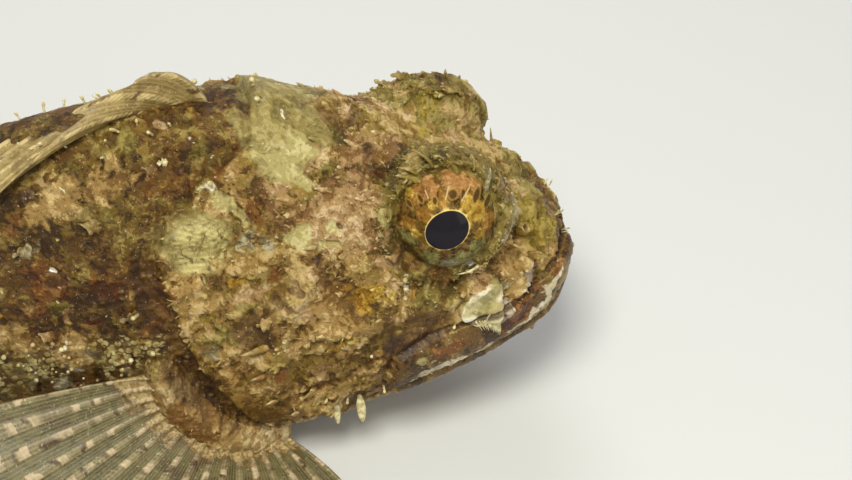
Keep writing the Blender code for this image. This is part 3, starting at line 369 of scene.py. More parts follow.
# how far the skin's forms stand out or sink in, in millimetres
GILL_GROOVE, PLATE_RAISE, PLATE_ROUND, PLATE_CREASE = 0.35, 1.15, 0.35, 0.55
MOUTH_DEPTH, UPPER_LIP_RAISE, LOWER_LIP_RAISE, JOINT_DEPTH = 1.5, 0.8, 0.75, 0.3
GILL_RAY_RAISE, LACHRYMAL_RAISE, SLIT_DEPTH, HOLLOW_DEPTH = 0.10, 0.75, 0.5, 0.9
CRUST_RAISE, SCRAP_RAISE, GRAIN_RAISE, FOLD_RAISE, RELIEF_MIDDLE = 0.32, 0.30, 0.46, 1.0, 0.3
SLIT_BEHIND, SLIT_WIDTH, JAW_JOINT = 2.4, 2.1, [(27, 10.8), (30.5, 8.6), (32.5, 4), (33, -3)]
WRINKLE_RAISE, WRINKLE_RATE, BALL_EDGE, LID_SINK, LID_THICK = 0.16, 5.2, 6.8, 0.45, 0.6
# sunken places round the eye, which are also laid brown as painted shade: the same three numbers
HOLLOWS = [(24.8, 59, 1.7), (21, 65, 1.6), (13.5, 58, 1.0), (18.5, 68, 1.1)]
UNSEEN_FROM, UNSEEN_TO, UNSEEN_PER_COLOUR, UNSEEN_RADIUS = 78, 134, 13, 1.25


def all_marks():
    """The markings of the front half, and more of the same kinds strewn over the rest of the flanks."""
    draw = np.random.default_rng(23)
    marks = {}
    for name, places in MARKS.items():
        marks[name] = list(places)
        typical = min(UNSEEN_RADIUS, np.mean([radius for _, _, radius in places]))
        for _ in range(UNSEEN_PER_COLOUR):
            marks[name].append((draw.uniform(UNSEEN_FROM, UNSEEN_TO), draw.uniform(0, 120),
                                typical * draw.uniform(0.8, 1.7)))
    return marks


def mark_strength(p, places):
    """1 in the middle of each marking, 0.5 at its edge, and then fading out."""
    best = np.zeros(p.shape[:-1])
    mirrored = np.stack([p[..., 0], np.abs(p[..., 1]), p[..., 2]], -1)
    for s, degrees, radius in places:
        centre = skin_frame(s, math.radians(degrees), head=False)[0]
        near = np.abs(mirrored[..., 0] - centre[0]) < 2 * radius
        d = np.linalg.norm(mirrored[near] - centre, axis=-1)
        best[near] = np.maximum(best[near], np.clip(1 - 0.5 * d / radius, 0, 1))
    return best


def pectoral_row(t):
    """The numbers of PECTORAL at a share of the way along its rows."""
    return [float(smooth_curve(np.array(t), PECTORAL[:, 0], PECTORAL[:, k])) for k in range(1, 7)]


def turn_at(s, z, side):
    """The turn round the body of the place at a height on one side."""
    back, belly, _, middle, upper, lower = (
        float(smooth_curve(np.array(float(s)), STATIONS[:, 0], STATIONS[:, k])) for k in range(1, 7))
    nose = math.sqrt(1 - (1 - min(s / NOSE_ROUND, 1.0))**2)
    if z > middle:
        up = min(1.0, (z - middle) / ((back - middle) * nose))**(upper / 2)
    else:
        up = -min(1.0, (middle - z) / ((middle - belly) * nose))**(lower / 2)
    return side * math.acos(up)


def skin_frame(s, turn, head=True):
    """A place on the smooth skin: the point, the way out and the way back along it."""
    step = 0.05
    grid_s, grid_t = np.meshgrid([s - step, s, s + step], [turn - step, turn, turn + step], indexing="ij")
    p = push_out_orbits(body_section(grid_s, grid_t))
    back, around = p[2, 1] - p[0, 1], p[1, 2] - p[1, 0]
    out = np.cross(back, around)
    out /= np.linalg.norm(out)
    point = p[1, 1]
    if head:
        near = line_distance(point[0], point[2], GILL_EDGE)
        raised = GILL_RAISE * (1 - smooth_step(0, GILL_FADE, near))
        point = point + out * raised * smooth_step(3, 12, point[2])
    return point, out, back / np.linalg.norm(back)


def side_place(s, z, side, head=True):
    """A place on one side, by its height in place of its turn."""
    return skin_frame(s, turn_at(s, z, side), head)


def pectoral_foot(side, t):
    """The middle of the fleshy base of a pectoral fin's ray, the way out, and the base's radius."""
    s, z, radius, _, _, _ = pectoral_row(t)
    p, out, _ = side_place(s, z, side, head=False)
    return p + out * BASE_PROUD, out, radius


# meshes

def new_mesh(name, points, faces, fields=None, smooth=True):
    """A mesh with one number a point in each of its fields."""
    mesh = bpy.data.meshes.new(name)
    mesh.from_pydata(points.tolist(), [], faces)
    for key, values in (fields or {}).items():
        layer = mesh.attributes.new(key, "FLOAT", "POINT")
        layer.data.foreach_set("value", values.astype(np.float32))
    mesh.update()
    if smooth:
        mesh.shade_smooth()
    obj = bpy.data.objects.new(name, mesh)
    bpy.context.scene.collection.objects.link(obj)
    return obj


def grid_faces(rows, columns, closed=True):
    """The four-sided faces of a grid of points, which closes round on itself or not."""
    i, j = np.meshgrid(np.arange(rows - 1), np.arange(columns if closed else columns - 1), indexing="ij")
    k = (j + 1) % columns
    return np.stack([i * columns + j, i * columns + k, (i + 1) * columns + k, (i + 1) * columns + j],
                    -1).reshape(-1, 4)


def ring_mesh(name, p, fields, flipped=False):
    """A mesh of rings of points that closes in a pole at either end."""
    rings, columns = p.shape[:2]
    points = np.concatenate([p.reshape(-1, 3), [p[0].mean(axis=0)], [p[-1].mean(axis=0)]])
    j = np.arange(columns)
    k = (j + 1) % columns
    last, pole = (rings - 1) * columns, np.full(columns, rings * columns)
    nose = np.stack([j, pole, k], -1)
    tail = np.stack([last + j, last + k, pole + 1], -1)
    faces = []
    for part in (grid_faces(rings, columns), nose, tail):
        faces += (part[:, ::-1] if flipped else part).tolist()
    values = {key: np.concatenate([v.ravel(), [v[0].mean(), v[-1].mean()]]) for key, v in fields.items()}
    return new_mesh(name, world(points), faces, values)


SKIN_COLUMNS = 560
SKIN_SEED = 11


def skin_rows():
    """The distances behind the snout of the skin's rings, which lie closest on the head."""
    nose = NOSE_ROUND * (1 - np.cos(np.linspace(0.06, math.pi / 2, 40)))
    head = np.arange(NOSE_ROUND + 0.21, 66, 0.21)
    trunk = np.arange(66, BODY_END - 0.4, 0.34)
    return np.concatenate([nose, head, trunk, [BODY_END]])


def wandering(p, size, amount, seed):
    """Shifts each place by smooth noise, so that what is drawn there gets a wavy edge."""
    shift = np.stack([value_noise(p, size, seed + k) for k in range(3)], -1) - 0.5
    return p + shift * 2 * amount


def round_hub(p):
    """The direction in side view from the fan's hub."""
    return np.arctan2(p[..., 2] - FAN_HUB[1], p[..., 0] - FAN_HUB[0])


def face_forms(p, ahead, head):
    """The gill covers' edge, cheek plates, mouth, lips and bony ridges: their height, and their fields."""
    s, z = p[..., 0], p[..., 2]
    edge_fade = 1 - smooth_step(0, GILL_FADE, np.abs(ahead))
    high = head * GILL_RAISE * edge_fade * smooth_step(3, 12, z)
    high -= GILL_GROOVE * bump(ahead + 0.5, 0.5) * smooth_step(6, 14, z)

    plate_away, plate_half = line_distance(s, z, PLATE, PLATE_HALF)
    plate = 1 - smooth_step(-0.7, 0.1, plate_away - plate_half)
    high += plate * (PLATE_RAISE - PLATE_ROUND * (plate_away / np.maximum(plate_half, 0.1))**2)
    high -= PLATE_CREASE * bump(plate_away - plate_half - 0.35, 0.3) * (s < 30)

    mouth_z = np.interp(s, [c[0] for c in MOUTH_LINE], [c[1] for c in MOUTH_LINE])
    below = z - mouth_z
    mouth_fade = 1 - smooth_step(26, 29, s)
    high -= MOUTH_DEPTH * bump(below - 0.1, 0.32) * mouth_fade
    high += UPPER_LIP_RAISE * bump(below - 1.25, 0.85) * mouth_fade * (1 - plate)
    high += LOWER_LIP_RAISE * bump(below + 1.35, 0.9) * mouth_fade
    high -= JOINT_DEPTH * bump(line_distance(s, z, JAW_JOINT), 0.5)

    ridges = np.zeros_like(s)
    for line, widths, raised in RIDGES:
        away, width = line_distance(s, z, line, widths)
        ridges = np.maximum(ridges, bump(away, width * 1.15) * raised)
    high += ridges * smooth_step(4, 9, s)
    rays = np.sin(round_hub(p) * GILL_RAYS) * smooth_step(2, 5, ahead) * (s > 43) * (z > 24) * head
    high += GILL_RAY_RAISE * rays * (1 - smooth_step(14, 18, ahead))
    return high, {
        "plate": plate, "ridge": ridges,
        "jaw": (1 - smooth_step(0.2, 1.0, below)) * (1 - smooth_step(24, 29, s)) * head,
        # the plate's upper edge and the crease along it, laid dark as painted shade
        "plate_crease_shade": bump(plate_away - plate_half - 0.15, 0.45) * (below > 0) * mouth_fade,
        "lip": bump(below + 2.2, 1.3) * mouth_fade,
        "upper_lip": bump(below - 1.0, 0.95) * mouth_fade,
    }


def relief(p, smooth):
    """How far the fine skin stands out at each place, and the fields that its colours share."""
    z = p[..., 2]
    ahead = before_gill(p)
    head = smooth_step(-0.2, 0.2, ahead)
    high, fields = face_forms(p, ahead, head)
    flakes = rough_noise(wandering(p, 2.2, 1.3, 71), 3.6, SKIN_SEED)
    crust = smooth_step(0.485, 0.525, flakes)
    scraps = rough_noise(wandering(p, 1.0, 0.6, 81), 1.35, SKIN_SEED + 5, octaves=3)
    scraps = smooth_step(0.50, 0.545, scraps)
    grain = rough_noise(p, 0.8, SKIN_SEED + 9, octaves=3) - 0.5
    folds = rough_noise(p * [0.55, 1, 1], 6.0, SKIN_SEED + 20, octaves=3) - 0.5
    lachrymal = smooth_step(0.42, 0.55, mark_strength(wandering(p, 1.2, 0.35, 91), LACHRYMAL))
    bare = smooth_step(0.3, 0.6, mark_strength(wandering(p, 1.5, 0.7, 98), BARE))
    # the sunken places round the eye, also laid brown as painted shade
    shaded_hollow = smooth_step(0.25, 0.85, mark_strength(wandering(p, 1.5, 0.5, 95), HOLLOWS))
    # the gill slit behind the cover's edge: sunk here, and laid dark as painted shadow under the cover
    slit = bump(ahead + SLIT_BEHIND, SLIT_WIDTH) * smooth_step(12, 18, z)
    slit = slit * (1 - smooth_step(33, 38, z)) * (ahead < 0.3)
    plain = np.maximum.reduce([fields["plate"], bare, slit, lachrymal * 0.8, fields["jaw"] * 0.9, smooth])
    plain = np.clip(plain, 0, 1)
    high += LACHRYMAL_RAISE * lachrymal - SLIT_DEPTH * slit - HOLLOW_DEPTH * shaded_hollow
    under = smooth_step(2, 9, z)
    amount = (0.35 + 0.65 * head) * (1 - 0.8 * plain) * (0.25 + 0.75 * under)
    fine = CRUST_RAISE * crust + SCRAP_RAISE * scraps + GRAIN_RAISE * grain + FOLD_RAISE * folds
    high += amount * (fine - RELIEF_MIDDLE)
    # the relief as a tone from 0 to 1, which the colours use for painted shade in folds and painted light on
    # raised skin
    tone = np.clip(0.5 + (fine - fine.mean()) / (3.2 * fine.std()), 0, 1)
    return high, {**fields, "crust": crust, "raised": tone, "head": head, "plain": plain, "slit": slit,
                  "lachrymal": lachrymal, "shaded_hollow": shaded_hollow, "bare": bare}


def sink_eyes(p):
    """Raises the wrinkled rim round each eye, and sinks the skin inside it under the eyeball."""
    rim_field = np.zeros(p.shape[:-1])
    for side in SIDES:
        axis, up, back = eye_directions(side)
        away = p - EYE * [1, side, 1]
        height = away @ axis
        flat = away - height[..., None] * axis
        rho = np.linalg.norm(flat, axis=-1)
        angle = np.arctan2(flat @ back, flat @ up)
        near = (height > -3) & (rho < 14)
        upper = 0.5 + 0.5 * np.cos(angle)
        knobs = value_noise(p, 1.3, 40 + side) - 0.5
        lumps = rough_noise(p, 2.6, 50 + side, octaves=3) - 0.5
        rim = 0.45 + 0.75 * upper + 0.6 * knobs + 2.6 * lumps
        rim = rim * bump(rho - RIM_RADIUS - 0.3 - 1.6 * lumps, 1.1)
        wrinkles = WRINKLE_RAISE * np.sin(rho * WRINKLE_RATE + 3 * knobs)
        wrinkles = wrinkles * smooth_step(BALL_EDGE, 7.6, rho) * (1 - smooth_step(9, 11, rho))
        new = height + np.where(near, rim + wrinkles, 0)
        ball = np.sqrt(EYE_RADIUS**2 - np.minimum(rho, BALL_EDGE)**2)
        edge = LID_EDGE + 0.35 * np.cos(angle)
        lid_rho = rho + 0.9 * knobs
        lid = ball - LID_SINK + LID_THICK * smooth_step(edge - 0.15, edge + 0.35, lid_rho)
        outside = smooth_step(edge + 0.2, 8.4, lid_rho)
        new = np.where(near, lid * (1 - outside) + new * outside, height)
        p = p + (new - height)[..., None] * axis
        rim_field = np.maximum(rim_field, np.where(near, bump(rho - RIM_RADIUS, 2.4), 0))
    return p, rim_field


def pectoral_bulge(p):
    """The fleshy base of each pectoral fin, as a height over the trunk's skin."""
    high = np.zeros(p.shape[:-1])
    for side in SIDES:
        feet = [pectoral_foot(side, float(t)) for t in np.linspace(-0.03, 1.03, 27).clip(0, 1)]
        for foot, out, radius in feet:
            d = np.linalg.norm(p - (foot - out * BASE_PROUD), axis=-1) / (radius * 1.12)
            high = np.maximum(high, (BASE_PROUD + radius) * np.sqrt(np.maximum(1 - d * d, 0)))
    return high


def build_skin():
    """The seamless skin of head, jaw, trunk and tail, its points, and the fields that its colours need."""
    turns = np.arange(SKIN_COLUMNS) / SKIN_COLUMNS * 2 * np.pi
    s, turn = np.meshgrid(skin_rows(), turns, indexing="ij")
    p = push_out_orbits(body_section(s, turn))
    normal = grid_normals(p)
    wavy = wandering(wandering(p, 2.4, 1.4, 101), 0.9, 0.6, 111)
    marks = {name: mark_strength(wavy, places) for name, places in all_marks().items()}
    smooth = 0.85 * smooth_step(0.3, 0.6, np.maximum.reduce([marks["pale"], marks["cream"], marks["dark"]]))
    high, fields = relief(p, smooth)
    base = pectoral_bulge(p)
    fade = smooth_step(0, 0.5, s) * (1 - smooth_step(134, BODY_END, s))
    fields.update(marks)
    share = np.linspace(0, len(LIP_EDGE) - 1, LIP_STEPS)
    lip = [np.interp(share, np.arange(len(LIP_EDGE)), column) for column in zip(*LIP_EDGE)]
    fields["lip_edge"] = mark_strength(wavy, [(s_lip, degrees, LIP_WIDTH) for s_lip, degrees in zip(*lip)])
    fields["fan"] = smooth_step(0.35, 0.6, mark_strength(p, FAN_MARK))
    fields["fan_lines"] = 0.5 + 0.5 * np.sin(round_hub(p) * FAN_LINES)
    clusters = smooth_step(0.36, 0.46, value_noise(p, 3.4, 121)) * (1 - fields["head"])
    band = PEBBLE_HEIGHT - PEBBLE_FALL * (p[..., 0] - PEBBLE_FROM)
    fields["pebbles"] = bump(p[..., 2] - band, PEBBLE_BAND) * smooth_step(57, 60, p[..., 0]) * clusters
    fields["base"] = smooth_step(0.2, 1.6, base)
    fields["belly"] = 1 - smooth_step(4, 15, p[..., 2])
    high = high * (1 + 1.1 * fields["base"] * (1 - fields["head"]))
    p = p + normal * (high * fade + base)[..., None]
    p, fields["rim"] = sink_eyes(p)
    p[..., 2] = np.maximum(p[..., 2], 0.03)
    return ring_mesh("skin", p, fields), p, fields


# materials

# how much light goes through the skin, how far each colour of it goes, how deep, and how surfaces shine
FLESH_WEIGHT, FLESH_COLOURS, FLESH_DEPTH = 0.35, (0.8, 0.6, 0.3), 0.9
SKIN_SHINE, EYE_SHINE = 0.3, 0.1
# single colours: lines, pits, specks and edges; the pale fleck is partly painted glint
TINTS = {
    "fan": (212, 200, 138), "pit": (64, 36, 8), "fleck": (236, 222, 184), "scale_edge": (56, 32, 8),
    "scale_top": (176, 154, 96), "pebble_gap": (84, 60, 26), "pebble_dull": (150, 130, 72),
    "pebble_pale": (206, 190, 134), "tip_dull": (178, 150, 100), "tip_pale": (230, 216, 174),
    "finger_dull": (178, 162, 112), "finger_pale": (220, 210, 170), "root_edge": (88, 60, 28),
    "root_dull": (134, 108, 60), "root_pale": (180, 158, 112), "fin_fleck": (216, 202, 164),
    "slit_edge": (182, 146, 76), "slit": (60, 36, 12), "eye_line": (214, 190, 136),
    "pupil_edge": (222, 196, 120), "pupil": (34, 31, 38), "floor": (206, 208, 212),
    "floor_pale": (212, 214, 218),
}


def tint(name):
    """One of the single colours."""
    return rgb(*TINTS[name])


def rgb(red, green, blue):
    """A colour of three numbers from 0 to 255, as the linear values that a shader takes."""
    channels = [c / 255 for c in (red, green, blue)]
    return tuple(c / 12.92 if c <= 0.04045 else ((c + 0.055) / 1.055)**2.4 for c in channels) + (1.0,)


class Paint:
    """A material made of colours laid over one another, each let in by masks and made ragged by noise."""

    def __init__(self, name):
        self.material = bpy.data.materials.new(name)
        self.material.use_nodes = True
        self.tree = self.material.node_tree
        self.shader = self.tree.nodes["Principled BSDF"]
        self.place = self.node("ShaderNodeTexCoord").outputs["Object"]
        self.colour = self.height = self.lit = self.bright = None

    def node(self, kind, **settings):
        node = self.tree.nodes.new(kind)
        for key, value in settings.items():
            setattr(node, key, value)
        return node

    def put(self, socket, value):
        """Gives a socket a number, a colour or another node's result."""
        if isinstance(value, bpy.types.NodeSocket):
            self.tree.links.new(value, socket)
        else:
            socket.default_value = value

    def noise(self, size, detail, rough=0.55, bend=0.0):
        """Noise with features about size millimetres across."""
        node = self.node("ShaderNodeTexNoise")
        node.inputs["Scale"].default_value = 1 / (size * MM)
        node.inputs["Detail"].default_value = detail
        node.inputs["Roughness"].default_value = rough
        node.inputs["Distortion"].default_value = bend
        self.put(node.inputs["Vector"], self.place)
        return node.outputs["Fac"]

    def cells(self, size, stretch=(1.0, 1.0, 1.0)):
        """The distance from the middles of round cells about size millimetres apart."""
        node = self.node("ShaderNodeTexVoronoi")
        node.inputs["Scale"].default_value = 1 / (size * MM)
        stretched = self.node("ShaderNodeMapping")
        stretched.inputs["Scale"].default_value = stretch
        self.put(stretched.inputs["Vector"], self.place)
        self.put(node.inputs["Vector"], stretched.outputs["Vector"])
        return node.outputs["Distance"]

    def field(self, name):
        """A number that the mesh keeps at each of its points."""
        return self.node("ShaderNodeAttribute", attribute_name=name).outputs["Fac"]

    def math(self, operation, a, b=0.0, c=0.0, clamp=False):
        node = self.node("ShaderNodeMath", operation=operation, use_clamp=clamp)
        for socket, value in zip(node.inputs, (a, b, c)):
            self.put(socket, value)
        return node.outputs["Value"]

    def times(self, a, b):
        return self.math("MULTIPLY", a, b)

    def plus(self, a, b):
        return self.math("ADD", a, b)

    def scaled(self, a, factor, more):
        return self.math("MULTIPLY_ADD", a, factor, more)

    def step(self, value, low, high, to_low=0.0, to_high=1.0):
        """An easy slope from to_low to to_high while the value goes from low to high."""
        node = self.node("ShaderNodeMapRange", interpolation_type="SMOOTHSTEP")
        for key, number in (("Value", value), ("From Min", low), ("From Max", high),
                            ("To Min", to_low), ("To Max", to_high)):
            self.put(node.inputs[key], number)
        return node.outputs["Result"]

    def mixed(self, amount, a, b):
        node = self.node("ShaderNodeMix", data_type="RGBA")
        self.put(node.inputs["Factor"], amount)
        self.put(node.inputs["A"], a)
        self.put(node.inputs["B"], b)
        return node.outputs["Result"]

    def shade(self, colours):
        """Dark, middle and pale of one colour by the lit and bright steps; on the skin: painted shade in
        folds, light on raised skin.
        """
        dark, middle, pale = (rgb(*colour) for colour in colours)
        return self.mixed(self.bright, self.mixed(self.lit, dark, middle), pale)

    def lay(self, colour, amount):
        """Lays a colour over what is there, as densely as amount says."""
        self.colour = self.mixed(amount, self.colour, colour)

    def lift(self, value, amount):
        """Raises the surface's fine relief."""
        part = self.times(value, amount)
        self.height = part if self.height is None else self.plus(self.height, part)

    def make_fleshy(self):
        """Lets a little light through the surface, as wet skin does."""
        self.shader.inputs["Subsurface Weight"].default_value = FLESH_WEIGHT
        self.shader.inputs["Subsurface Radius"].default_value = FLESH_COLOURS
        self.shader.inputs["Subsurface Scale"].default_value = FLESH_DEPTH * MM
        self.shader.inputs["Specular IOR Level"].default_value = SKIN_SHINE

    def finish(self, roughness, strength=1.0):
        self.put(self.shader.inputs["Base Color"], self.colour)
        self.put(self.shader.inputs["Roughness"], roughness)
        if self.height is not None:
            node = self.node("ShaderNodeBump")
            node.inputs["Strength"].default_value = strength
            node.inputs["Distance"].default_value = MM
            self.put(node.inputs["Height"], self.height)
            self.put(self.shader.inputs["Normal"], node.outputs["Normal"])
        return self.material


# the dark, middle and pale colour of each kind of skin; a relief-led tone picks them: partly painted shade
# and light
SHADES = {
    "trunk": [(60, 40, 9), (108, 84, 30), (158, 138, 76)],
    "head": [(104, 74, 28), (142, 112, 52), (184, 158, 102)],
    "olive": [(74, 62, 13), (117, 101, 40), (154, 140, 75)],
    "brown": [(54, 32, 6), (92, 62, 17), (132, 103, 45)],
    "rust": [(72, 34, 8), (116, 68, 22), (158, 108, 50)],
    "tan": [(126, 92, 40), (166, 134, 78), (204, 176, 124)],
    "pink": [(134, 98, 56), (172, 139, 95), (212, 184, 144)],
    "grey": [(82, 74, 48), (126, 116, 82), (180, 172, 144)],
    "gold": [(80, 62, 8), (126, 104, 26), (164, 144, 62)],
    "amber": [(140, 100, 22), (186, 148, 48), (232, 208, 110)],
    "crust": [(124, 88, 40), (170, 138, 84), (206, 182, 134)],
    "lilac": [(146, 130, 110), (176, 162, 144), (208, 196, 178)],
    "bone": [(190, 176, 142), (218, 206, 176), (242, 236, 214)],
    "pale": [(112, 99, 50), (138, 124, 70), (162, 149, 94)],
    "cream": [(144, 132, 80), (168, 156, 100), (196, 185, 134)],
    "dark": [(42, 22, 6), (66, 40, 13), (100, 70, 32)],
    "white": [(186, 178, 150), (228, 220, 200), (250, 246, 234)],
    "belly": [(120, 90, 54), (172, 146, 104), (208, 190, 152)],
    "jaw": [(48, 28, 8), (86, 60, 24), (122, 94, 46)],
}
# the skin's layers from the bottom up: field, kind of colour, the strengths between which it comes in, how
# ragged its edge is, how dense it is
LAYERS = [
    ("base", "crust", 0.5, 0.85, 1.1, 0.95), ("belly", "belly", 0.55, 1.0, 0.8, 0.8),
    ("rim", "olive", 0.3, 0.75, 1.2, 0.8), ("bare", "brown", 0.35, 0.7, 0.9, 0.75),
    ("jaw", "jaw", 0.4, 0.7, 0.5, 0.7), ("plate", "jaw", 0.45, 0.6, 0.4, 0.85),
    ("olive", "olive", 0.38, 0.62, 1.1, 0.85), ("brown", "brown", 0.40, 0.60, 1.0, 0.9),
    ("rust", "rust", 0.40, 0.62, 1.1, 0.8), ("tan", "tan", 0.38, 0.60, 1.1, 0.85),
    ("pink", "pink", 0.38, 0.60, 1.0, 0.9), ("grey", "grey", 0.42, 0.62, 1.0, 0.8),
    ("gold", "gold", 0.42, 0.60, 0.8, 0.85), ("amber", "amber", 0.42, 0.60, 0.9, 0.9),
    ("lachrymal", "bone", 0.45, 0.6, 0.7, 0.95), ("pale", "pale", 0.34, 0.58, 0.45, 0.92),
    ("cream", "cream", 0.36, 0.60, 0.5, 0.92), ("dark", "dark", 0.36, 0.66, 0.9, 0.85),
    ("white", "white", 0.42, 0.56, 0.5, 0.95), ("lilac", "lilac", 0.40, 0.62, 0.7, 0.85),
    # the slit: painted shadow under the gill cover's edge; the hollows round the eye: painted shade in brown
    ("slit", "dark", 0.25, 0.6, 0.5, 0.75), ("shaded_hollow", "brown", 0.3, 0.8, 0.6, 0.7),
    # the plate's upper edge and crease: painted shade, dark
    ("plate_crease_shade", "dark", 0.35, 0.75, 0.5, 0.8), ("lip", "pink", 0.45, 0.8, 1.0, 0.8),
    ("upper_lip", "cream", 0.5, 0.8, 1.2, 0.5), ("lip_edge", "bone", 0.46, 0.64, 1.3, 0.75),
]


def skin_layers(paint):
    """The markings that skin, flaps and spines share, with painted light and shade: pale where the skin is
    raised, dark in its folds.
    """
    coarse = paint.noise(4.5, 6.0, 0.62, 0.6)
    ragged = paint.noise(1.5, 7.0, 0.68, 1.2)
    fine = paint.noise(0.55, 5.0, 0.62, 0.6)
    specks = paint.noise(0.32, 3.0, 0.5)
    head = paint.field("head")
    # tone from the raised relief and from noise: painted shade in folds, painted light on raised skin, and
    # random tone
    tone = paint.scaled(paint.field("raised"), 0.5, -0.55)
    tone = paint.scaled(ragged, 0.8, tone)
    tone = paint.scaled(fine, 0.8, tone)
    paint.lit, paint.bright = paint.step(tone, 0.30, 0.46), paint.step(tone, 0.56, 0.76)

    def shade(name):
        return paint.shade(SHADES[name])

    def shaken(name, wobble):
        return paint.scaled(ragged, wobble, paint.plus(paint.field(name), -0.5 * wobble))

    paint.colour = paint.mixed(paint.step(coarse, 0.44, 0.56), shade("trunk"), shade("brown"))
    paint.lay(shade("rust"), paint.step(paint.noise(6.0, 5.0, 0.6, 0.8), 0.56, 0.64, 0.0, 0.4))
    paint.lay(shade("head"), paint.times(head, 0.95))
    flakes = paint.times(paint.step(shaken("crust", 1.2), 0.35, 0.6), head)
    gaps = paint.times(paint.step(shaken("crust", 1.2), 0.35, 0.1), head)
    paint.lay(shade("brown"), paint.times(gaps, 0.4))
    paint.lay(shade("tan"), paint.times(flakes, 0.45))
    mossy = paint.times(paint.step(paint.noise(3.0, 6.0, 0.7, 0.8), 0.52, 0.58, 0.0, 0.6), head)
    paint.lay(shade("gold"), mossy)
    rosy = paint.times(paint.step(paint.noise(2.3, 6.0, 0.7, 1.0), 0.54, 0.60, 0.0, 0.5), head)
    paint.lay(shade("pink"), rosy)
    for field, kind, low, high, wobble, share in LAYERS:
        paint.lay(shade(kind), paint.times(paint.step(shaken(field, wobble), low, high), share))
    fan = paint.times(paint.field("fan"), paint.step(ragged, 0.40, 0.52))
    lines = paint.step(paint.field("fan_lines"), 0.2, 0.9, 0.3, 0.75)
    paint.lay(tint("fan"), paint.times(fan, lines))
    pits = paint.step(fine, 0.40, 0.335)
    paint.lay(tint("pit"), paint.times(pits, 0.4))
    # pale flecks: partly pale specks of the skin, partly painted glints of wet skin
    flecks_and_glints = paint.step(specks, 0.66, 0.71)
    paint.lay(tint("fleck"), paint.times(flecks_and_glints, 0.45))
    return coarse, ragged, fine, specks


def skin_paint():
    """The warty skin, with dull scales on the trunk and small pale ones over the pectoral fin."""
    paint = Paint("warty_skin")
    coarse, ragged, fine, specks = skin_layers(paint)
    trunk = paint.math("SUBTRACT", 1.0, paint.field("head"), clamp=True)
    scales = paint.cells(1.35, stretch=(0.82, 1.0, 1.15))
    scale_edge = paint.times(paint.step(scales, 0.50, 0.72), trunk)
    paint.lay(tint("scale_edge"), paint.times(scale_edge, 0.3))
    scale_top = paint.times(paint.step(scales, 0.30, 0.14), trunk)
    dots = paint.times(scale_top, paint.step(coarse, 0.50, 0.60))
    paint.lay(tint("scale_top"), paint.times(dots, 0.3))
    pebbles = paint.step(paint.cells(0.95), 0.62, 0.42)
    pebbly = paint.times(paint.step(paint.field("pebbles"), 0.15, 0.5), paint.step(ragged, 0.36, 0.48))
    paint.lay(tint("pebble_gap"), paint.times(pebbly, 0.7))
    paint.lay(paint.mixed(paint.step(coarse, 0.42, 0.58), tint("pebble_dull"), tint("pebble_pale")),
              paint.times(pebbles, pebbly))
    rough = paint.math("SUBTRACT", 1.0, paint.field("plain"), clamp=True)
    paint.lift(ragged, paint.scaled(rough, 0.5, 0.1))
    paint.lift(fine, paint.scaled(rough, 0.2, 0.06))
    paint.lift(specks, 0.06)
    paint.lift(paint.step(scales, 0.7, 0.0), paint.times(trunk, 0.30))
    paint.lift(pebbles, paint.times(pebbly, 0.25))
    paint.make_fleshy()
    return paint.finish(paint.step(ragged, 0.3, 0.7, 0.30, 0.50), strength=0.9)


def flap_paint(name, tip_amount):
    """The skin's markings with their painted light and shade, paler towards the tips."""
    paint = Paint(name)
    _, ragged, fine, _ = skin_layers(paint)
    tip = paint.times(paint.step(paint.field("tip"), 0.15, 0.95), tip_amount)
    paint.lay(paint.mixed(paint.step(ragged, 0.4, 0.6), tint("tip_dull"), tint("tip_pale")), tip)
    paint.lift(fine, 0.2)
    paint.make_fleshy()
    return paint.finish(0.42, strength=0.6)


def pale_paint():
    """The whitish skin of the small fingers and beads."""
    paint = Paint("pale_finger_skin")
    patches = paint.step(paint.noise(0.6, 3.0), 0.4, 0.6)
    paint.colour = paint.mixed(patches, tint("finger_dull"), tint("finger_pale"))
    paint.make_fleshy()
    return paint.finish(0.35)


STRIAE = 38.0


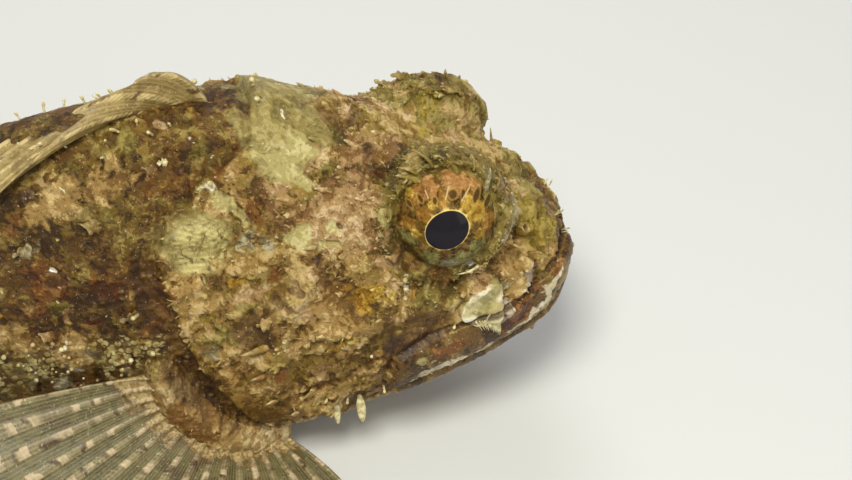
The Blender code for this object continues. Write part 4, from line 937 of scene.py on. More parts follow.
def fin_paint(name, membrane, ray_pale, ray_dark, spot_length, opaque, crust):
    """Rays with rows of pale and dark spots, a thin skin between them, and crusty skin over their roots."""
    paint = Paint(name)
    ray, along, number, across = (paint.field(key) for key in ("ray", "along", "number", "across"))
    ragged = paint.noise(1.6, 6.0, 0.65, 1.0)
    fine = paint.noise(0.5, 4.0, 0.6)
    wave = paint.plus(paint.math("DIVIDE", along, spot_length),
                      paint.times(paint.noise(7.0, 2.0), 1.9))
    wave = paint.scaled(ragged, 0.45, wave)
    stagger = paint.times(paint.math("SINE", paint.times(number, 2.4)), 0.3)
    phase = paint.math("FRACT", paint.plus(wave, stagger))
    paint.colour = paint.mixed(paint.step(ragged, 0.36, 0.64), rgb(*membrane[0]), rgb(*membrane[1]))
    blotch = paint.noise(5.5, 3.0, 0.5, 0.4)
    paint.lay(rgb(*ray_dark), paint.times(paint.step(blotch, 0.56, 0.64), 0.35))
    striae = paint.step(paint.math("SINE", paint.times(across, STRIAE)), -0.2, 1.0)
    paint.lay(rgb(*ray_pale), paint.times(striae, 0.22))
    on_ray = paint.step(ray, 0.22, 0.58)
    uneven = paint.step(paint.noise(3.2, 3.0, 0.5), 0.40, 0.56)
    pale = paint.times(paint.step(phase, 0.40, 0.46), paint.step(phase, 0.80, 0.74))
    pale = paint.times(pale, paint.scaled(uneven, 0.5, 0.3))
    paint.lay(rgb(*ray_pale), paint.times(on_ray, paint.plus(pale, 0.13)))
    strong = paint.step(paint.noise(4.2, 3.0, 0.5), 0.44, 0.58)
    dark = paint.times(paint.step(phase, 0.80, 0.86), paint.step(phase, 0.995, 0.97))
    dark = paint.times(dark, paint.scaled(strong, 0.7, 0.15))
    paint.lay(rgb(*ray_dark), paint.times(paint.step(ray, 0.08, 0.35), dark))
    outward = paint.scaled(ragged, -8.0, paint.scaled(blotch, -7.0, along))
    outward = paint.math("SUBTRACT", outward, crust - 7.5)
    paint.lay(tint("root_edge"), paint.times(paint.step(outward, 1.5, 0.6), 0.6))
    paint.lay(paint.mixed(paint.step(fine, 0.40, 0.55), tint("root_dull"), tint("root_pale")),
              paint.times(paint.step(outward, 0.8, -0.6), 0.85))
    paint.lay(tint("fin_fleck"), paint.times(paint.step(paint.noise(0.4, 2.0), 0.64, 0.70), 0.5))
    paint.lift(fine, 0.12)
    paint.lift(ragged, 0.2)
    joints = paint.math("SINE", paint.times(along, 9.0))
    paint.lift(joints, paint.times(on_ray, 0.03))
    if opaque < 1:
        veil = paint.times(paint.step(ray, 0.35, 0.05), paint.step(along, 3.0, 11.0))
        paint.put(paint.shader.inputs["Alpha"], paint.scaled(veil, opaque - 1, 1.0))
    return paint.finish(paint.step(ragged, 0.3, 0.7, 0.34, 0.5), strength=0.7)


# the skin over the eyeball: its colours, and where each lies back from and above the pupil, with its radius
EYE_GROUND = [(48, 30, 10), (102, 76, 32), (150, 124, 70)]
EYE_SHADES = {
    "moss": [(84, 78, 34), (128, 122, 70), (168, 164, 112)],
    "umber": [(40, 22, 6), (74, 50, 20), (112, 84, 38)],
    "amber": [(84, 50, 12), (132, 92, 36), (176, 136, 66)],
    "salmon": [(118, 74, 34), (162, 116, 66), (200, 158, 106)],
    "bright_gold": [(128, 94, 26), (172, 138, 56), (222, 196, 112)],
    "lilac": [(92, 84, 66), (132, 124, 106), (164, 158, 144)],
}
EYE_SPOTS = {
    "moss": [(-2.4, -5.6, 2.2), (2.3, -4.5, 1.4), (-4.2, -2.8, 1.2), (5.2, -2.0, 1.4), (-6.2, 3.2, 1.0)],
    "umber": [(5.9, -3.6, 1.7), (5.9, 2.0, 1.6), (3.4, 6.2, 0.9), (-6.6, -0.6, 0.8), (4.0, -5.6, 1.4)],
    "amber": [(-5.5, 0.3, 1.3), (2.9, 2.3, 1.1), (0.8, 4.3, 1.2), (-3.2, 4.6, 1.2), (4.8, 0.6, 0.9),
              (3.6, 4.4, 1.2)],
    "salmon": [(2.3, 5.2, 1.4), (-1.6, 6.0, 1.8), (-4.2, 5.4, 0.9)],
    "bright_gold": [(-4.0, 2.0, 1.3), (-2.9, 3.3, 0.9), (-4.3, -1.2, 0.8), (4.0, -0.4, 0.6), (1.8, 3.4, 0.6),
                    (4.6, 4.6, 0.6)],
    "lilac": [(0.0, -6.1, 1.3)],
}


def eye_paint():
    """A black pupil in a thin gold line with a painted highlight on its upper front, and round it patches of
    gold, brown, olive and grey-green skin.
    """
    paint = Paint("gold_eye")
    ring, angle = paint.field("ring"), paint.field("angle")
    ragged = paint.noise(1.2, 6.0, 0.66, 1.0)
    fine = paint.noise(0.4, 5.0, 0.62, 0.4)
    streak = paint.node("ShaderNodeTexNoise")
    streak.inputs["Scale"].default_value = 1.0
    streak.inputs["Detail"].default_value = 5.0
    spot = paint.node("ShaderNodeCombineXYZ")
    paint.put(spot.inputs["X"], paint.times(paint.math("COSINE", angle), 3.4))
    paint.put(spot.inputs["Y"], paint.times(paint.math("SINE", angle), 3.4))
    paint.put(spot.inputs["Z"], paint.times(ring, 0.9))
    paint.put(streak.inputs["Vector"], spot.outputs["Vector"])
    rays = streak.outputs["Fac"]
    tone = paint.scaled(ragged, 1.3, paint.scaled(rays, 1.3, -1.2))
    tone = paint.scaled(fine, 0.9, tone)
    paint.lit, paint.bright = paint.step(tone, 0.25, 0.52), paint.step(tone, 0.56, 0.88)
    paint.colour = paint.shade(EYE_GROUND)
    for name, colours in EYE_SHADES.items():
        shaken = paint.scaled(ragged, 0.9, paint.plus(paint.field(name), -0.45))
        paint.lay(paint.shade(colours), paint.step(shaken, 0.36, 0.62, 0.0, 0.92))
    slits = paint.scaled(fine, 0.3, paint.plus(paint.field("slits"), -0.15))
    paint.lay(tint("slit_edge"), paint.step(slits, 0.20, 0.42, 0.0, 0.45))
    paint.lay(tint("slit"), paint.step(slits, 0.40, 0.66, 0.0, 0.85))
    paint.lay(tint("eye_line"), paint.step(paint.field("lines"), 0.45, 0.85, 0.0, 0.7))
    # the gold collar and the pupil's gold edge grow stronger on the upper front side by the lit field:
    # painted highlight over the gold
    collar = paint.times(paint.step(ring, 1.26, 1.02), paint.step(rays, 0.44, 0.60, 0.0, 0.7))
    paint.lay(paint.shade(EYE_SHADES["bright_gold"]), paint.times(collar, paint.field("lit")))
    edge = paint.math("SUBTRACT", ring, paint.times(paint.field("lit"), 0.03))
    edge = paint.scaled(rays, -0.16, edge)
    paint.lay(tint("pupil_edge"), paint.step(edge, 0.965, 0.935, 0.0, 0.85))
    pupil = paint.step(ring, 1.012, 0.988)
    paint.lay(tint("pupil"), pupil)
    outside = paint.step(ring, 1.1, 1.5)
    paint.lift(ragged, paint.times(outside, 0.35))
    paint.lift(fine, paint.times(outside, 0.2))
    paint.shader.inputs["Specular IOR Level"].default_value = EYE_SHINE
    return paint.finish(paint.step(ring, 0.99, 1.15, 0.16, 0.45), strength=0.7)


def floor_paint():
    """A plain pale floor."""
    paint = Paint("pale_floor")
    paint.colour = paint.mixed(0.5, tint("floor"), tint("floor_pale"))
    return paint.finish(0.9)


# eyes
PUPIL_LONG, PUPIL_SHORT = 3.0, 2.55
PUPIL_TILT = math.radians(36)
PUPIL_BACK, PUPIL_LOW = 0.35, 0.2
# dark oval marks with pale edges over the pupil: back from and above it, half width and half length, lean
SLITS = [
    (-4.2, 3.9, 0.42, 0.85, 28), (-5.7, 2.8, 0.40, 0.80, 45), (-1.0, 4.6, 0.60, 0.55, 0),
    (1.4, 3.9, 0.3, 0.45, 0), (6.6, 2.2, 0.55, 0.75, 10), (3.2, 4.0, 0.28, 0.5, -25),
    (4.6, 3.2, 0.28, 0.5, -35), (-2.4, 4.4, 0.3, 0.6, 14),
]
PALE_LINES = [[(0.0, 4.1), (-0.5, 5.4)], [(-2.1, 3.7), (-3.4, 5.1)], [(2.2, 4.2), (2.5, 5.0)]]


def build_eye(side):
    """An eyeball with the fields that its colours need."""
    axis, up, back = eye_directions(side)
    rings, columns = 170, 260
    polar = np.linspace(0.004, math.pi - 0.004, rings)
    polar = np.pi * (polar / np.pi)**1.25
    angle = np.arange(columns) / columns * 2 * np.pi
    a, b = np.meshgrid(polar, angle, indexing="ij")
    rho = EYE_RADIUS * np.sin(a)
    x, y = rho * np.sin(b) - PUPIL_BACK, rho * np.cos(b) + PUPIL_LOW
    front = a < 1.5
    across = (x * math.cos(PUPIL_TILT) - y * math.sin(PUPIL_TILT)) / PUPIL_LONG
    short = (x * math.sin(PUPIL_TILT) + y * math.cos(PUPIL_TILT)) / PUPIL_SHORT
    ring = np.where(front, np.hypot(across, short), 3.0)
    out = np.cos(b)[..., None] * up + np.sin(b)[..., None] * back
    p = EYE * [1, side, 1] + out * rho[..., None] + axis * (EYE_RADIUS * np.cos(a))[..., None]
    knobs = rough_noise(p, 1.5, 61, octaves=3) - 0.5
    raised = 0.25 * bump(rho, 3.6) + (0.9 * knobs + 0.1) * smooth_step(1.15, 1.8, ring)
    p = p + axis * (raised * (a < 1.5))[..., None]
    slits = np.zeros_like(rho)
    for middle_x, middle_y, half_width, half_length, degrees in SLITS:
        lean = math.radians(degrees)
        dx, dy = x - middle_x, y - middle_y
        u = dx * math.cos(lean) + dy * math.sin(lean)
        v = -dx * math.sin(lean) + dy * math.cos(lean)
        slits = np.maximum(slits, 1 - 0.5 * np.hypot(u / half_width, v / half_length))
    lines = np.zeros_like(rho)
    for line in PALE_LINES:
        lines = np.maximum(lines, bump(line_distance(x, y, line), 0.14))
    # lit: the eye's upper front side, where the gold round the pupil gets a painted highlight
    fields = {"ring": ring, "angle": b, "slits": slits * front, "lines": lines * front,
              "lit": smooth_step(-0.75, 0.5, (y - 0.55 * x) / np.maximum(np.hypot(x, y), 0.1))}
    for name, spots in EYE_SPOTS.items():
        near = np.zeros_like(rho)
        for spot_x, spot_y, radius in spots:
            near = np.maximum(near, 1 - 0.5 * np.hypot(x - spot_x, y - spot_y) / radius)
        fields[name] = np.clip(near, 0, 1) * front
    return ring_mesh("eyeball_left" if side > 0 else "eyeball_right", p, fields, flipped=side > 0)


# spines and skin flaps, gathered into joined meshes

# the least tone of the tufts, which paints them as pale as raised skin (painted light), and the share of the
# dark marks they keep
TUFT_PAINTED_LIGHT, DARK_SHARE = 0.66, 0.2
# where the tufts' unwrap begins, how far it spreads them by their roots' rows and columns on the skin, and
# how large one tuft's patch is on it
UNWRAP_EDGE, UNWRAP_SPAN, PATCH = 0.01, 0.97, 0.003


class Tufts:
    """Small closed forms that stand on the skin. Each takes the skin's fields where it is rooted."""

    def __init__(self, skin_points, fields, tree):
        self.points, self.faces, self.uv, self.count = [], [], [], 0
        self.tree = tree
        self.skin_fields = {key: values.ravel() for key, values in fields.items()}
        self.values = {key: [] for key in [*fields, "tip"]}
        self.skin_rows = len(skin_points)

    def add(self, rings, root, tip_from=0.0):
        """Rings of points from the root to the tip. The last ring closes to a point."""
        rings = np.asarray(rings, float)
        rows, columns = rings.shape[:2]
        first = self.count
        self.points += [rings.reshape(-1, 3), rings[-1].mean(axis=0)[None]]
        self.faces += (grid_faces(rows, columns) + first).tolist()
        last = (rows - 1) * columns
        self.faces += [[first + last + c, first + last + (c + 1) % columns, first + rows * columns]
                       for c in range(columns)]
        self.faces.append([first + c for c in reversed(range(columns))])
        number = self.tree.find(root)[1]
        total = rows * columns + 1
        for key, values in self.skin_fields.items():
            value = values[number]
            # a tuft stands up, so it takes at least the pale tone of raised skin: painted light
            if key == "raised":
                value = max(value, TUFT_PAINTED_LIGHT)
            elif key == "dark":
                value *= DARK_SHARE
            self.values[key].append(np.full(total, value))
        climb = np.concatenate([np.repeat(np.linspace(0, 1, rows), columns), [1.0]])
        self.values["tip"].append(np.clip((climb - tip_from) / (1 - tip_from), 0, 1))
        row, column = divmod(number, SKIN_COLUMNS)
        u = UNWRAP_EDGE + UNWRAP_SPAN * row / self.skin_rows
        v = UNWRAP_EDGE + UNWRAP_SPAN * column / SKIN_COLUMNS
        around = np.concatenate([np.tile(np.arange(columns) / columns, rows), [0.5]])
        self.uv.append(np.stack([u + PATCH * climb, v + PATCH * around], -1))
        self.count += total

    def build(self, name):
        fields = {key: np.concatenate(values) for key, values in self.values.items()}
        obj = new_mesh(name, world(np.concatenate(self.points)), self.faces, fields)
        corners = np.empty(len(obj.data.loops), np.int32)
        obj.data.loops.foreach_get("vertex_index", corners)
        layer = obj.data.uv_layers.new(name="OFBake")
        layer.data.foreach_set("uv", np.concatenate(self.uv)[corners].astype(np.float32).ravel())
        return obj


def rod_rings(path, widths, depths, outward, sides):
    """Rings with an oval outline along a path."""
    path = np.asarray(path, float)
    along = np.gradient(path, axis=0)
    along /= np.linalg.norm(along, axis=1)[:, None]
    across = np.cross(along, outward)
    across /= np.maximum(np.linalg.norm(across, axis=1), 1e-6)[:, None]
    up = np.cross(across, along)
    angle = (np.arange(sides) + 0.5) / sides * 2 * np.pi
    return (path[:, None] + across[:, None] * (np.cos(angle)[:, None] * np.asarray(widths)[:, None, None])
            + up[:, None] * (np.sin(angle)[:, None] * np.asarray(depths)[:, None, None]))


# thorns on each side of the head: station, height, length, root radius, and how steeply they stand
THORNS = [
    (9.5, 22.6, 2.6, 0.85, 0.35), (13.8, 22.0, 3.4, 0.95, 0.3), (7.4, 33.0, 2.2, 0.7, 0.75),
    (20.5, 25.6, 2.2, 0.8, 0.6), (28.5, 25.0, 2.4, 0.8, 0.6), (36.0, 24.2, 2.6, 0.85, 0.5),
    (43.6, 23.2, 5.2, 1.25, 0.3), (44.0, 18.6, 3.6, 1.1, 0.35), (42.9, 14.0, 3.0, 1.0, 0.4),
    (40.0, 11.0, 2.6, 0.95, 0.45), (35.5, 9.0, 2.2, 0.9, 0.5),
    (53.4, 39.2, 4.0, 0.9, 0.22), (53.6, 32.8, 4.0, 0.9, 0.22),
    (30.5, 40.5, 1.5, 0.7, 0.5), (35.5, 42.6, 1.6, 0.7, 0.45), (40.5, 42.4, 1.7, 0.7, 0.4),
    (31.0, 45.4, 1.5, 0.7, 0.45), (35.5, 46.8, 1.6, 0.7, 0.4), (46.6, 45.2, 1.8, 0.7, 0.35),
    (38.0, 36.5, 1.3, 0.6, 0.45),
]
RIM_THORNS = [(-48, 1.5), (-8, 1.6), (38, 1.8)]

# larger skin flaps: station, height, length, half width, and how far they lie back
HEAD_FLAPS = [
    (9.8, 21.4, 3.0, 1.0, 0.9), (13.0, 20.8, 3.4, 1.1, 0.9), (34.5, 11.6, 3.0, 0.9, 0.8),
    (38.5, 13.8, 2.6, 0.9, 0.8), (43.5, 26.8, 2.6, 0.9, 0.9), (27.0, 28.4, 2.2, 0.8, 0.9),
    (49.5, 36.0, 2.4, 0.8, 1.0), (50.0, 21.5, 2.4, 0.9, 1.0), (34.5, 35.8, 2.2, 0.8, 0.9),
    (41.0, 46.8, 2.2, 0.7, 0.9),
    (6.0, 15.2, 2.4, 0.8, 0.6), (12.0, 11.4, 2.6, 0.9, 0.7), (18.5, 9.0, 2.6, 0.9, 0.7),
    (24.5, 7.0, 2.8, 0.9, 0.7),
]
TRUNK_FLAPS = [
    (64.4, 40.9, 3.0, 1.0), (73.4, 37.8, 2.8, 1.0), (61.0, 28.6, 2.6, 1.0), (68.4, 45.1, 2.4, 0.8),
    (82.0, 36.0, 2.6, 0.9), (90.5, 33.5, 2.4, 0.9), (98.0, 31.0, 2.2, 0.8), (72.0, 26.0, 2.4, 0.9),
    (56.5, 46.6, 2.2, 0.8),
]
RIM_FLAPS = [(-30, 2.2, 0.5), (12, 3.6, 0.6), (30, 2.4, 0.5), (-60, 1.6, 0.5), (60, 2.0, 0.5)]
# pale fingers along the back and on the flank: distance behind the snout, degrees round, length, radius
CLUBS = [(76.0, -16, 1.3, 0.20), (73.4, -14, 1.1, 0.18), (70.2, -15, 1.4, 0.22), (67.6, -18, 1.2, 0.18),
         (64.8, -14, 1.3, 0.20), (62.6, -18, 1.1, 0.18), (60.8, -15, 1.3, 0.22), (58.4, -13, 1.1, 0.18),
         (56.6, -18, 1.3, 0.20), (54.2, -15, 1.2, 0.18), (43.0, -6, 1.0, 0.34), (63.0, 24, 1.0, 0.16),
         (70.0, 48, 1.0, 0.16), (22.0, 74, 0.9, 0.2), (19.0, 84, 1.0, 0.2),
         (61.2, 70, 1.5, 0.28), (2.2, 21, 1.4, 0.11), (2.5, 23, 1.0, 0.09), (1.2, 37, 1.1, 0.11),
         (1.2, 41, 0.8, 0.09), (8.4, 72, 1.2, 0.16), (29.0, 112, 0.9, 0.18),
         (34.2, 111, 0.8, 0.2), (37.0, 106, 0.7, 0.2)]
# pale leaves that hang from the cheek's lower edge: behind the snout, degrees round, length, half width
HANGING = [(35.8, 110, 3.6, 0.50), (32.4, 114, 3.8, 0.68), (12.9, 93, 2.0, 0.30)]
# pale star-like flaps on the flank and the nape: the same four numbers
PALE_LEAVES = [(64.2, 45, 1.7, 0.55), (73.5, 51, 1.8, 0.5), (68.0, 33, 1.6, 0.5), (55.2, 28, 1.3, 0.5),
               (77.5, 62, 1.5, 0.45), (70.5, 66, 1.3, 0.4)]
PEBBLES = 60
CLUB_SHAPE = np.array([1.0, 0.8, 0.85, 1.15, 0.95, 0.35])
# a hanging comb of threads under the cream plate, from the first to the last root: behind the snout, height
COMB_FROM, COMB_TO, COMB_TEETH = (16.4, 21.2), (13.1, 20.4), 11
# a white spike that points back under the eye: where it starts and ends
SPIKE = [(16.8, 53), (18.9, 59)]
# white beads on the cheek and the flank: distance behind the snout, degrees round, radius
BEADS = [
    (26.0, 64, 0.34), (26.0, 67, 0.30), (26.1, 70, 0.32), (17.4, 56, 0.3), (62.6, 83, 0.36), (59.6, 80, 0.34),
    (71.4, 80, 0.34), (79.0, 84, 0.36), (50.0, 35, 0.4), (31.0, 88, 0.22), (34.0, 82, 0.2),
]
# nostril tubes: station, height, radius, length. Their threads: back, aside, length, radius, lean
NOSTRILS = [(8.6, 30.6, 0.95, 1.1), (12.4, 31.6, 0.8, 0.7)]
NOSTRIL_SHAPE = np.array([1.25, 1.0, 0.82, 0.6, 0.5, 0.35])
NOSTRIL_THREADS = [(0.7, 0.0, 2.2, 0.28, 0.4), (0.3, 0.6, 1.5, 0.22, 0.7)]


def rim_place(side, angle):
    """A place on the orbit's rim, by its angle back from the top."""
    axis, up, back = eye_directions(side)
    a = math.radians(angle)
    out = up * math.cos(a) + back * math.sin(a)
    point = EYE * [1, side, 1] + axis * RIM_HEIGHT + out * RIM_RADIUS
    return point, out, back * math.cos(a) - up * math.sin(a)


def add_thorn(tufts, place, length, radius, steep):
    """A spine that leaves the skin at a slant and bends back."""
    p, out, back = place
    way = back * math.cos(steep) + out * math.sin(steep)
    tip_way = back * math.cos(steep * 0.6) + out * math.sin(steep * 0.6)
    t = np.linspace(0, 1, 12)[:, None]
    start, middle = p - way * 1.4 - out * radius * 0.5, p + way * length * 0.45
    tip = middle + tip_way * length * 0.5
    path = start * (1 - t)**2 + 2 * middle * t * (1 - t) + tip * t**2
    radii = radius * 0.7 * (1 - t[:, 0])**0.8 + 0.05
    tufts.add(rod_rings(path, radii, radii * 0.85, out, 10), p, 0.45)


def add_leaf(tufts, place, length, width, curl, draw, rows=12, sides=10, fringed=True):
    """A skin flap with a lobed, fringed edge that stands up and bends back."""
    p, out, way = place
    side = np.cross(out, way)
    side /= np.linalg.norm(side)
    sway = side * draw.uniform(-0.35, 0.35)
    t = np.linspace(0, 1, rows)
    lean = curl + 0.8 * t
    steps = np.diff(t, prepend=0)[:, None] * length
    rise = out * np.cos(lean)[:, None] + way * np.sin(lean)[:, None] + sway * t[:, None]
    path = p - out * 0.4 + np.cumsum(rise * steps, axis=0)
    lobes = 1 + (0.3 * np.sin(t * draw.uniform(14, 22) + draw.uniform(0, 6)) if fringed else 0)
    bulge = 0.5 + 0.75 * np.sin(np.pi * np.clip(t * 0.85 + 0.1, 0, 1))
    widths = width * bulge * lobes * (1 - 0.55 * t**3)
    depths = 0.2 * (1 - 0.6 * t) + 0.04
    tufts.add(rod_rings(path, widths, depths, way, sides), p)


def add_filament(tufts, place, length, radius, lean, draw):
    """A thin thread that leans back."""
    p, out, way = place
    side = np.cross(out, way)
    t = np.linspace(0, 1, 9)
    turn = lean + draw.uniform(-0.3, 0.5) * t
    sway = draw.uniform(-0.7, 0.7)
    steps = np.diff(t, prepend=0)[:, None] * length
    rise = (out * np.cos(turn)[:, None] + way * np.sin(turn)[:, None] + side * (sway * t)[:, None])
    path = p - out * 0.25 + np.cumsum(rise * steps, axis=0)
    radii = radius * (1 - 0.8 * t)
    tufts.add(rod_rings(path, radii, radii, way, 6), p)


def fine_place(points, normals, row, column):
    """A place on the fine skin itself, with the way out and the way back."""
    back = points[row + 1, column] - points[row - 1, column]
    back /= np.linalg.norm(back)
    out = normals[row, column]
    out = out - back * (out @ back)
    return points[row, column], out / np.linalg.norm(out), back


def add_club(tufts, place, length, radius, draw):
    """A short pale finger with a round end."""
    p, out, way = place
    side = np.cross(out, way)
    t = np.array([0, 0.3, 0.6, 0.8, 0.93, 1.0])
    bend = (way * draw.uniform(-0.2, 0.9) + side * draw.uniform(-0.4, 0.4)) * length
    path = p - out * 0.3 + out * ((length + 0.3) * t)[:, None] + bend * (t**2)[:, None]
    tufts.add(rod_rings(path, radius * CLUB_SHAPE, radius * CLUB_SHAPE, way, 8), p)


def add_bead(tufts, place, radius):
    """A small round bead."""
    p, out, way = place
    polar = np.linspace(0.25, 3.0, 7)[::-1]
    path = p + out * ((0.6 + np.cos(polar)) * radius)[:, None] + out * 0.5
    tufts.add(rod_rings(path, radius * np.sin(polar), radius * np.sin(polar), way, 10), p, -2.0)


def add_rod(tufts, start, end, out, radius):
    """A tapering rod from one place to another."""
    t = np.linspace(0, 1, 7)[:, None]
    path = start + (end - start) * t + out * (1.2 * t * (1 - t))
    radii = radius * (1 - 0.85 * t[:, 0]**2)
    tufts.add(rod_rings(path, radii, radii, out, 8), start)


def add_comb(tufts, side, draw):
    """Threads side by side that hang from the plate in front of the cheek and lean together."""
    for share in np.linspace(0, 1, COMB_TEETH)**0.8:
        s, z = (a + (b - a) * share for a, b in zip(COMB_FROM, COMB_TO))
        p, out, back = side_place(s, z, side)
        down = np.cross(back, out) * side
        down = down if down[2] < 0 else -down
        start = p + out * 0.9
        tip = start + down * (draw.uniform(1.1, 1.6) + share**2) + out * 0.4 - back * (0.8 - 0.9 * share)
        add_rod(tufts, start, tip, out, 0.13 + 0.08 * share**4)


def add_hanging(tufts, place, length, width):
    """A pale leaf that hangs from the lower edge of the cheek."""
    p, out, _ = place
    t = np.linspace(0, 1, 14)
    down = np.array([0.0, 0.0, -1.0])
    way, arch = down * 0.92 + out * 0.38, 0.5 * t * (1 - t)
    path = p - out * 0.4 + way * (length * t)[:, None] + out * arch[:, None]
    widths = width * np.sin(np.pi * (0.06 + 0.9 * t))**0.7
    tufts.add(rod_rings(path, widths, 0.14 - 0.06 * t, out, 12), p)


def fringe_chance(points, fields):
    """Where the small ragged leaflets stand thickest."""
    s, z = points[..., 0], points[..., 2]
    cheek = bump(np.hypot(s - 33, z - 37), 5.5) * 0.8
    brow = np.exp(-((s - 20) / 7)**2 - ((z - 45) / 3)**2) * 0.6
    nape = bump(np.hypot(s - 38, z - 47), 6) * 0.5
    gill = bump(np.abs(before_gill(points)) - 0.6, 1.0) * 0.35
    chance = 0.05 + 0.9 * cheek + brow + nape + gill + 0.5 * fields["rim"] + 0.45 * fields["ridge"]
    chance += 0.5 * fields["base"] * (1 - fields["head"])
    chance += 0.25 * (bump(z - 44 + (s - 55) * 0.09, 1.0)) * (s > 56)
    chance *= 1 - np.clip(fields["plain"] * 1.4, 0, 1)
    chance *= 1 - 0.85 * smooth_step(0.3, 0.55, fields["dark"])
    chance *= smooth_step(5, 10, z) * (0.25 + 0.75 * fields["head"]) * smooth_step(3, 7, s)
    chance *= 1 - smooth_step(124, 132, s)
    return np.clip(chance, 0, 1)


# how many leaflets the coarse and the fine fringe have, and how near the eyes they may stand
FRINGE_COUNT, FINE_COUNT, EYE_CLEAR = 2000, 3000, 7.3


def add_nostril(tufts, place, radius, height, draw):
    """A short open tube with two threads on its rim."""
    p, out, back = place
    level = np.cross(out, back)
    path = np.array([p - out * 0.8, p + out * height * 0.4, p + out * height, p + out * (height + 0.05),
                     p + out * height * 0.4, p])
    angle = np.arange(14) / 14 * 2 * np.pi
    circle = back * np.cos(angle)[:, None] + level * np.sin(angle)[:, None]
    tufts.add(path[:, None] + circle * (NOSTRIL_SHAPE * radius)[:, None, None], p)
    for behind, aside, length, thickness, lean in NOSTRIL_THREADS:
        root = p + out * height * 0.7 + back * radius * behind + level * radius * aside
        add_filament(tufts, (root, out, back), length, thickness, lean, draw)


def add_placed_tufts(side, spines, flaps, fingers, draw):
    """The spines, flaps and fingers of one side that have a place of their own."""
    def at(s, degrees, head=True):
        return skin_frame(s, side * math.radians(degrees), head)

    for s, z, length, radius, steep in THORNS:
        add_thorn(spines, side_place(s, z, side), length, radius, steep)
    for angle, length in RIM_THORNS:
        add_thorn(spines, rim_place(side, angle), length, 0.8, 1.0)
    for s, z, length, width, curl in HEAD_FLAPS:
        add_leaf(flaps, side_place(s, z, side), length, width, curl, draw)
    for s, z, length, width in TRUNK_FLAPS:
        add_leaf(flaps, side_place(s, z, side, head=False), length, width, 0.9, draw)
    for s, degrees, length, radius in CLUBS:
        add_club(fingers, at(s, degrees, s < 50), length, radius, draw)
    add_comb(fingers, side, draw)
    start, end = (at(s, degrees) for s, degrees in SPIKE)
    add_rod(fingers, start[0] + start[1] * 0.5, end[0] + end[1] * 0.5, start[1], 0.2)
    for s, degrees, length, width in HANGING:
        add_hanging(fingers, at(s, degrees), length, width)
    for s, degrees, length, width in PALE_LEAVES:
        add_leaf(fingers, at(s, degrees), length, width, 1.1, draw, 10, 8)
    for _ in range(PEBBLES):
        s, degrees, radius = draw.uniform(57, 79), draw.uniform(76, 93), draw.uniform(0.14, 0.34)
        add_bead(fingers if radius < 0.16 else flaps, at(s, degrees, False), radius)
    for s, degrees, radius in BEADS:
        add_bead(fingers, at(s, degrees), radius)
    for angle, length, width in RIM_FLAPS:
        add_leaf(flaps, rim_place(side, angle), length, width, 0.2, draw)
    for s, z, radius, height in NOSTRILS:
        add_nostril(flaps, side_place(s, z, side), radius, height, draw)


def inside_orbits(points):
    """Where the skin lies under an eyeball."""
    inside = np.zeros(points.shape[:-1], bool)
    for side in SIDES:
        away = points - EYE * [1, side, 1]
        height = away @ eye_axis(side)
        rho = np.linalg.norm(away - height[..., None] * eye_axis(side), axis=-1)
        inside |= (rho < EYE_CLEAR) & (height > -2)
    return inside


def build_tufts(points, fields):
    """The five coats: spines, larger flaps, a coarse and a fine fringe, and pale fingers."""
    normals = grid_normals(points)
    draw = np.random.default_rng(7)
    tree = KDTree(points.size // 3)
    for number, place in enumerate(points.reshape(-1, 3)):
        tree.insert(place, number)
    tree.balance()
    spines, flaps, fringe, fine, fingers = (Tufts(points, fields, tree) for _ in range(5))
    for side in SIDES:
        add_placed_tufts(side, spines, flaps, fingers, draw)
    area = np.linalg.norm(np.cross(np.gradient(points, axis=0), np.gradient(points, axis=1)), axis=-1)
    weight = fringe_chance(points, fields) * ~inside_orbits(points) * area
    weight[:4] = 0
    weight[-4:] = 0

    def strewn(count):
        """Places on the fine skin, picked at random where the fringe stands thick."""
        picks = draw.choice(weight.size, count, replace=False, p=(weight / weight.sum()).ravel())
        for number in np.sort(picks):
            yield fine_place(points, normals, *divmod(int(number), SKIN_COLUMNS))

    for place in strewn(FRINGE_COUNT):
        size = draw.uniform(0.45, 1.1)
        if draw.uniform() < 0.6:
            add_leaf(fringe, place, 0.95 * size, 0.38 * size, draw.uniform(0.7, 1.3), draw, 6, 7, False)
        else:
            add_filament(fringe, place, 1.0 * size, 0.14, draw.uniform(0.5, 1.2), draw)
    for place in strewn(FINE_COUNT):
        size = draw.uniform(0.35, 0.8)
        add_leaf(fine, place, 0.9 * size, 0.34 * size, draw.uniform(0.6, 1.3), draw, 5, 6, False)
    return [tufts.build(name) for tufts, name in (
        (spines, "spines"), (flaps, "skin_flaps"), (fringe, "fringe"), (fine, "fine_fringe"),
        (fingers, "pale_fingers"))]


# fins: the rays of the solids, drawn finer

def back_height(s):
    return float(smooth_curve(np.array(float(s)), STATIONS[:, 0], STATIONS[:, 1]))


def belly_height(s):
    return float(smooth_curve(np.array(float(s)), STATIONS[:, 0], STATIONS[:, 2]))


def folded_ray(s, length, rise, lean, depth=3.0, top=True):
    """A ray of a fin that lies back: its root under the skin, its bend and its tip."""
    height = back_height if top else belly_height
    slope = math.atan2(height(s + 4) - height(s - 4), 8)
    sign = 1 if top else -1
    angle = slope + sign * rise
    way = np.array([math.cos(angle), -math.sin(lean) * abs(math.sin(rise)), math.sin(angle)])
    way /= np.linalg.norm(way)
    root = np.array([s, 0.0, height(s) - sign * depth])
    reach = length + depth / math.sin(rise)
    tip = root + way * reach
    return [root, root + way * reach * 0.5 + [0, 0, sign * 0.06 * length], tip]


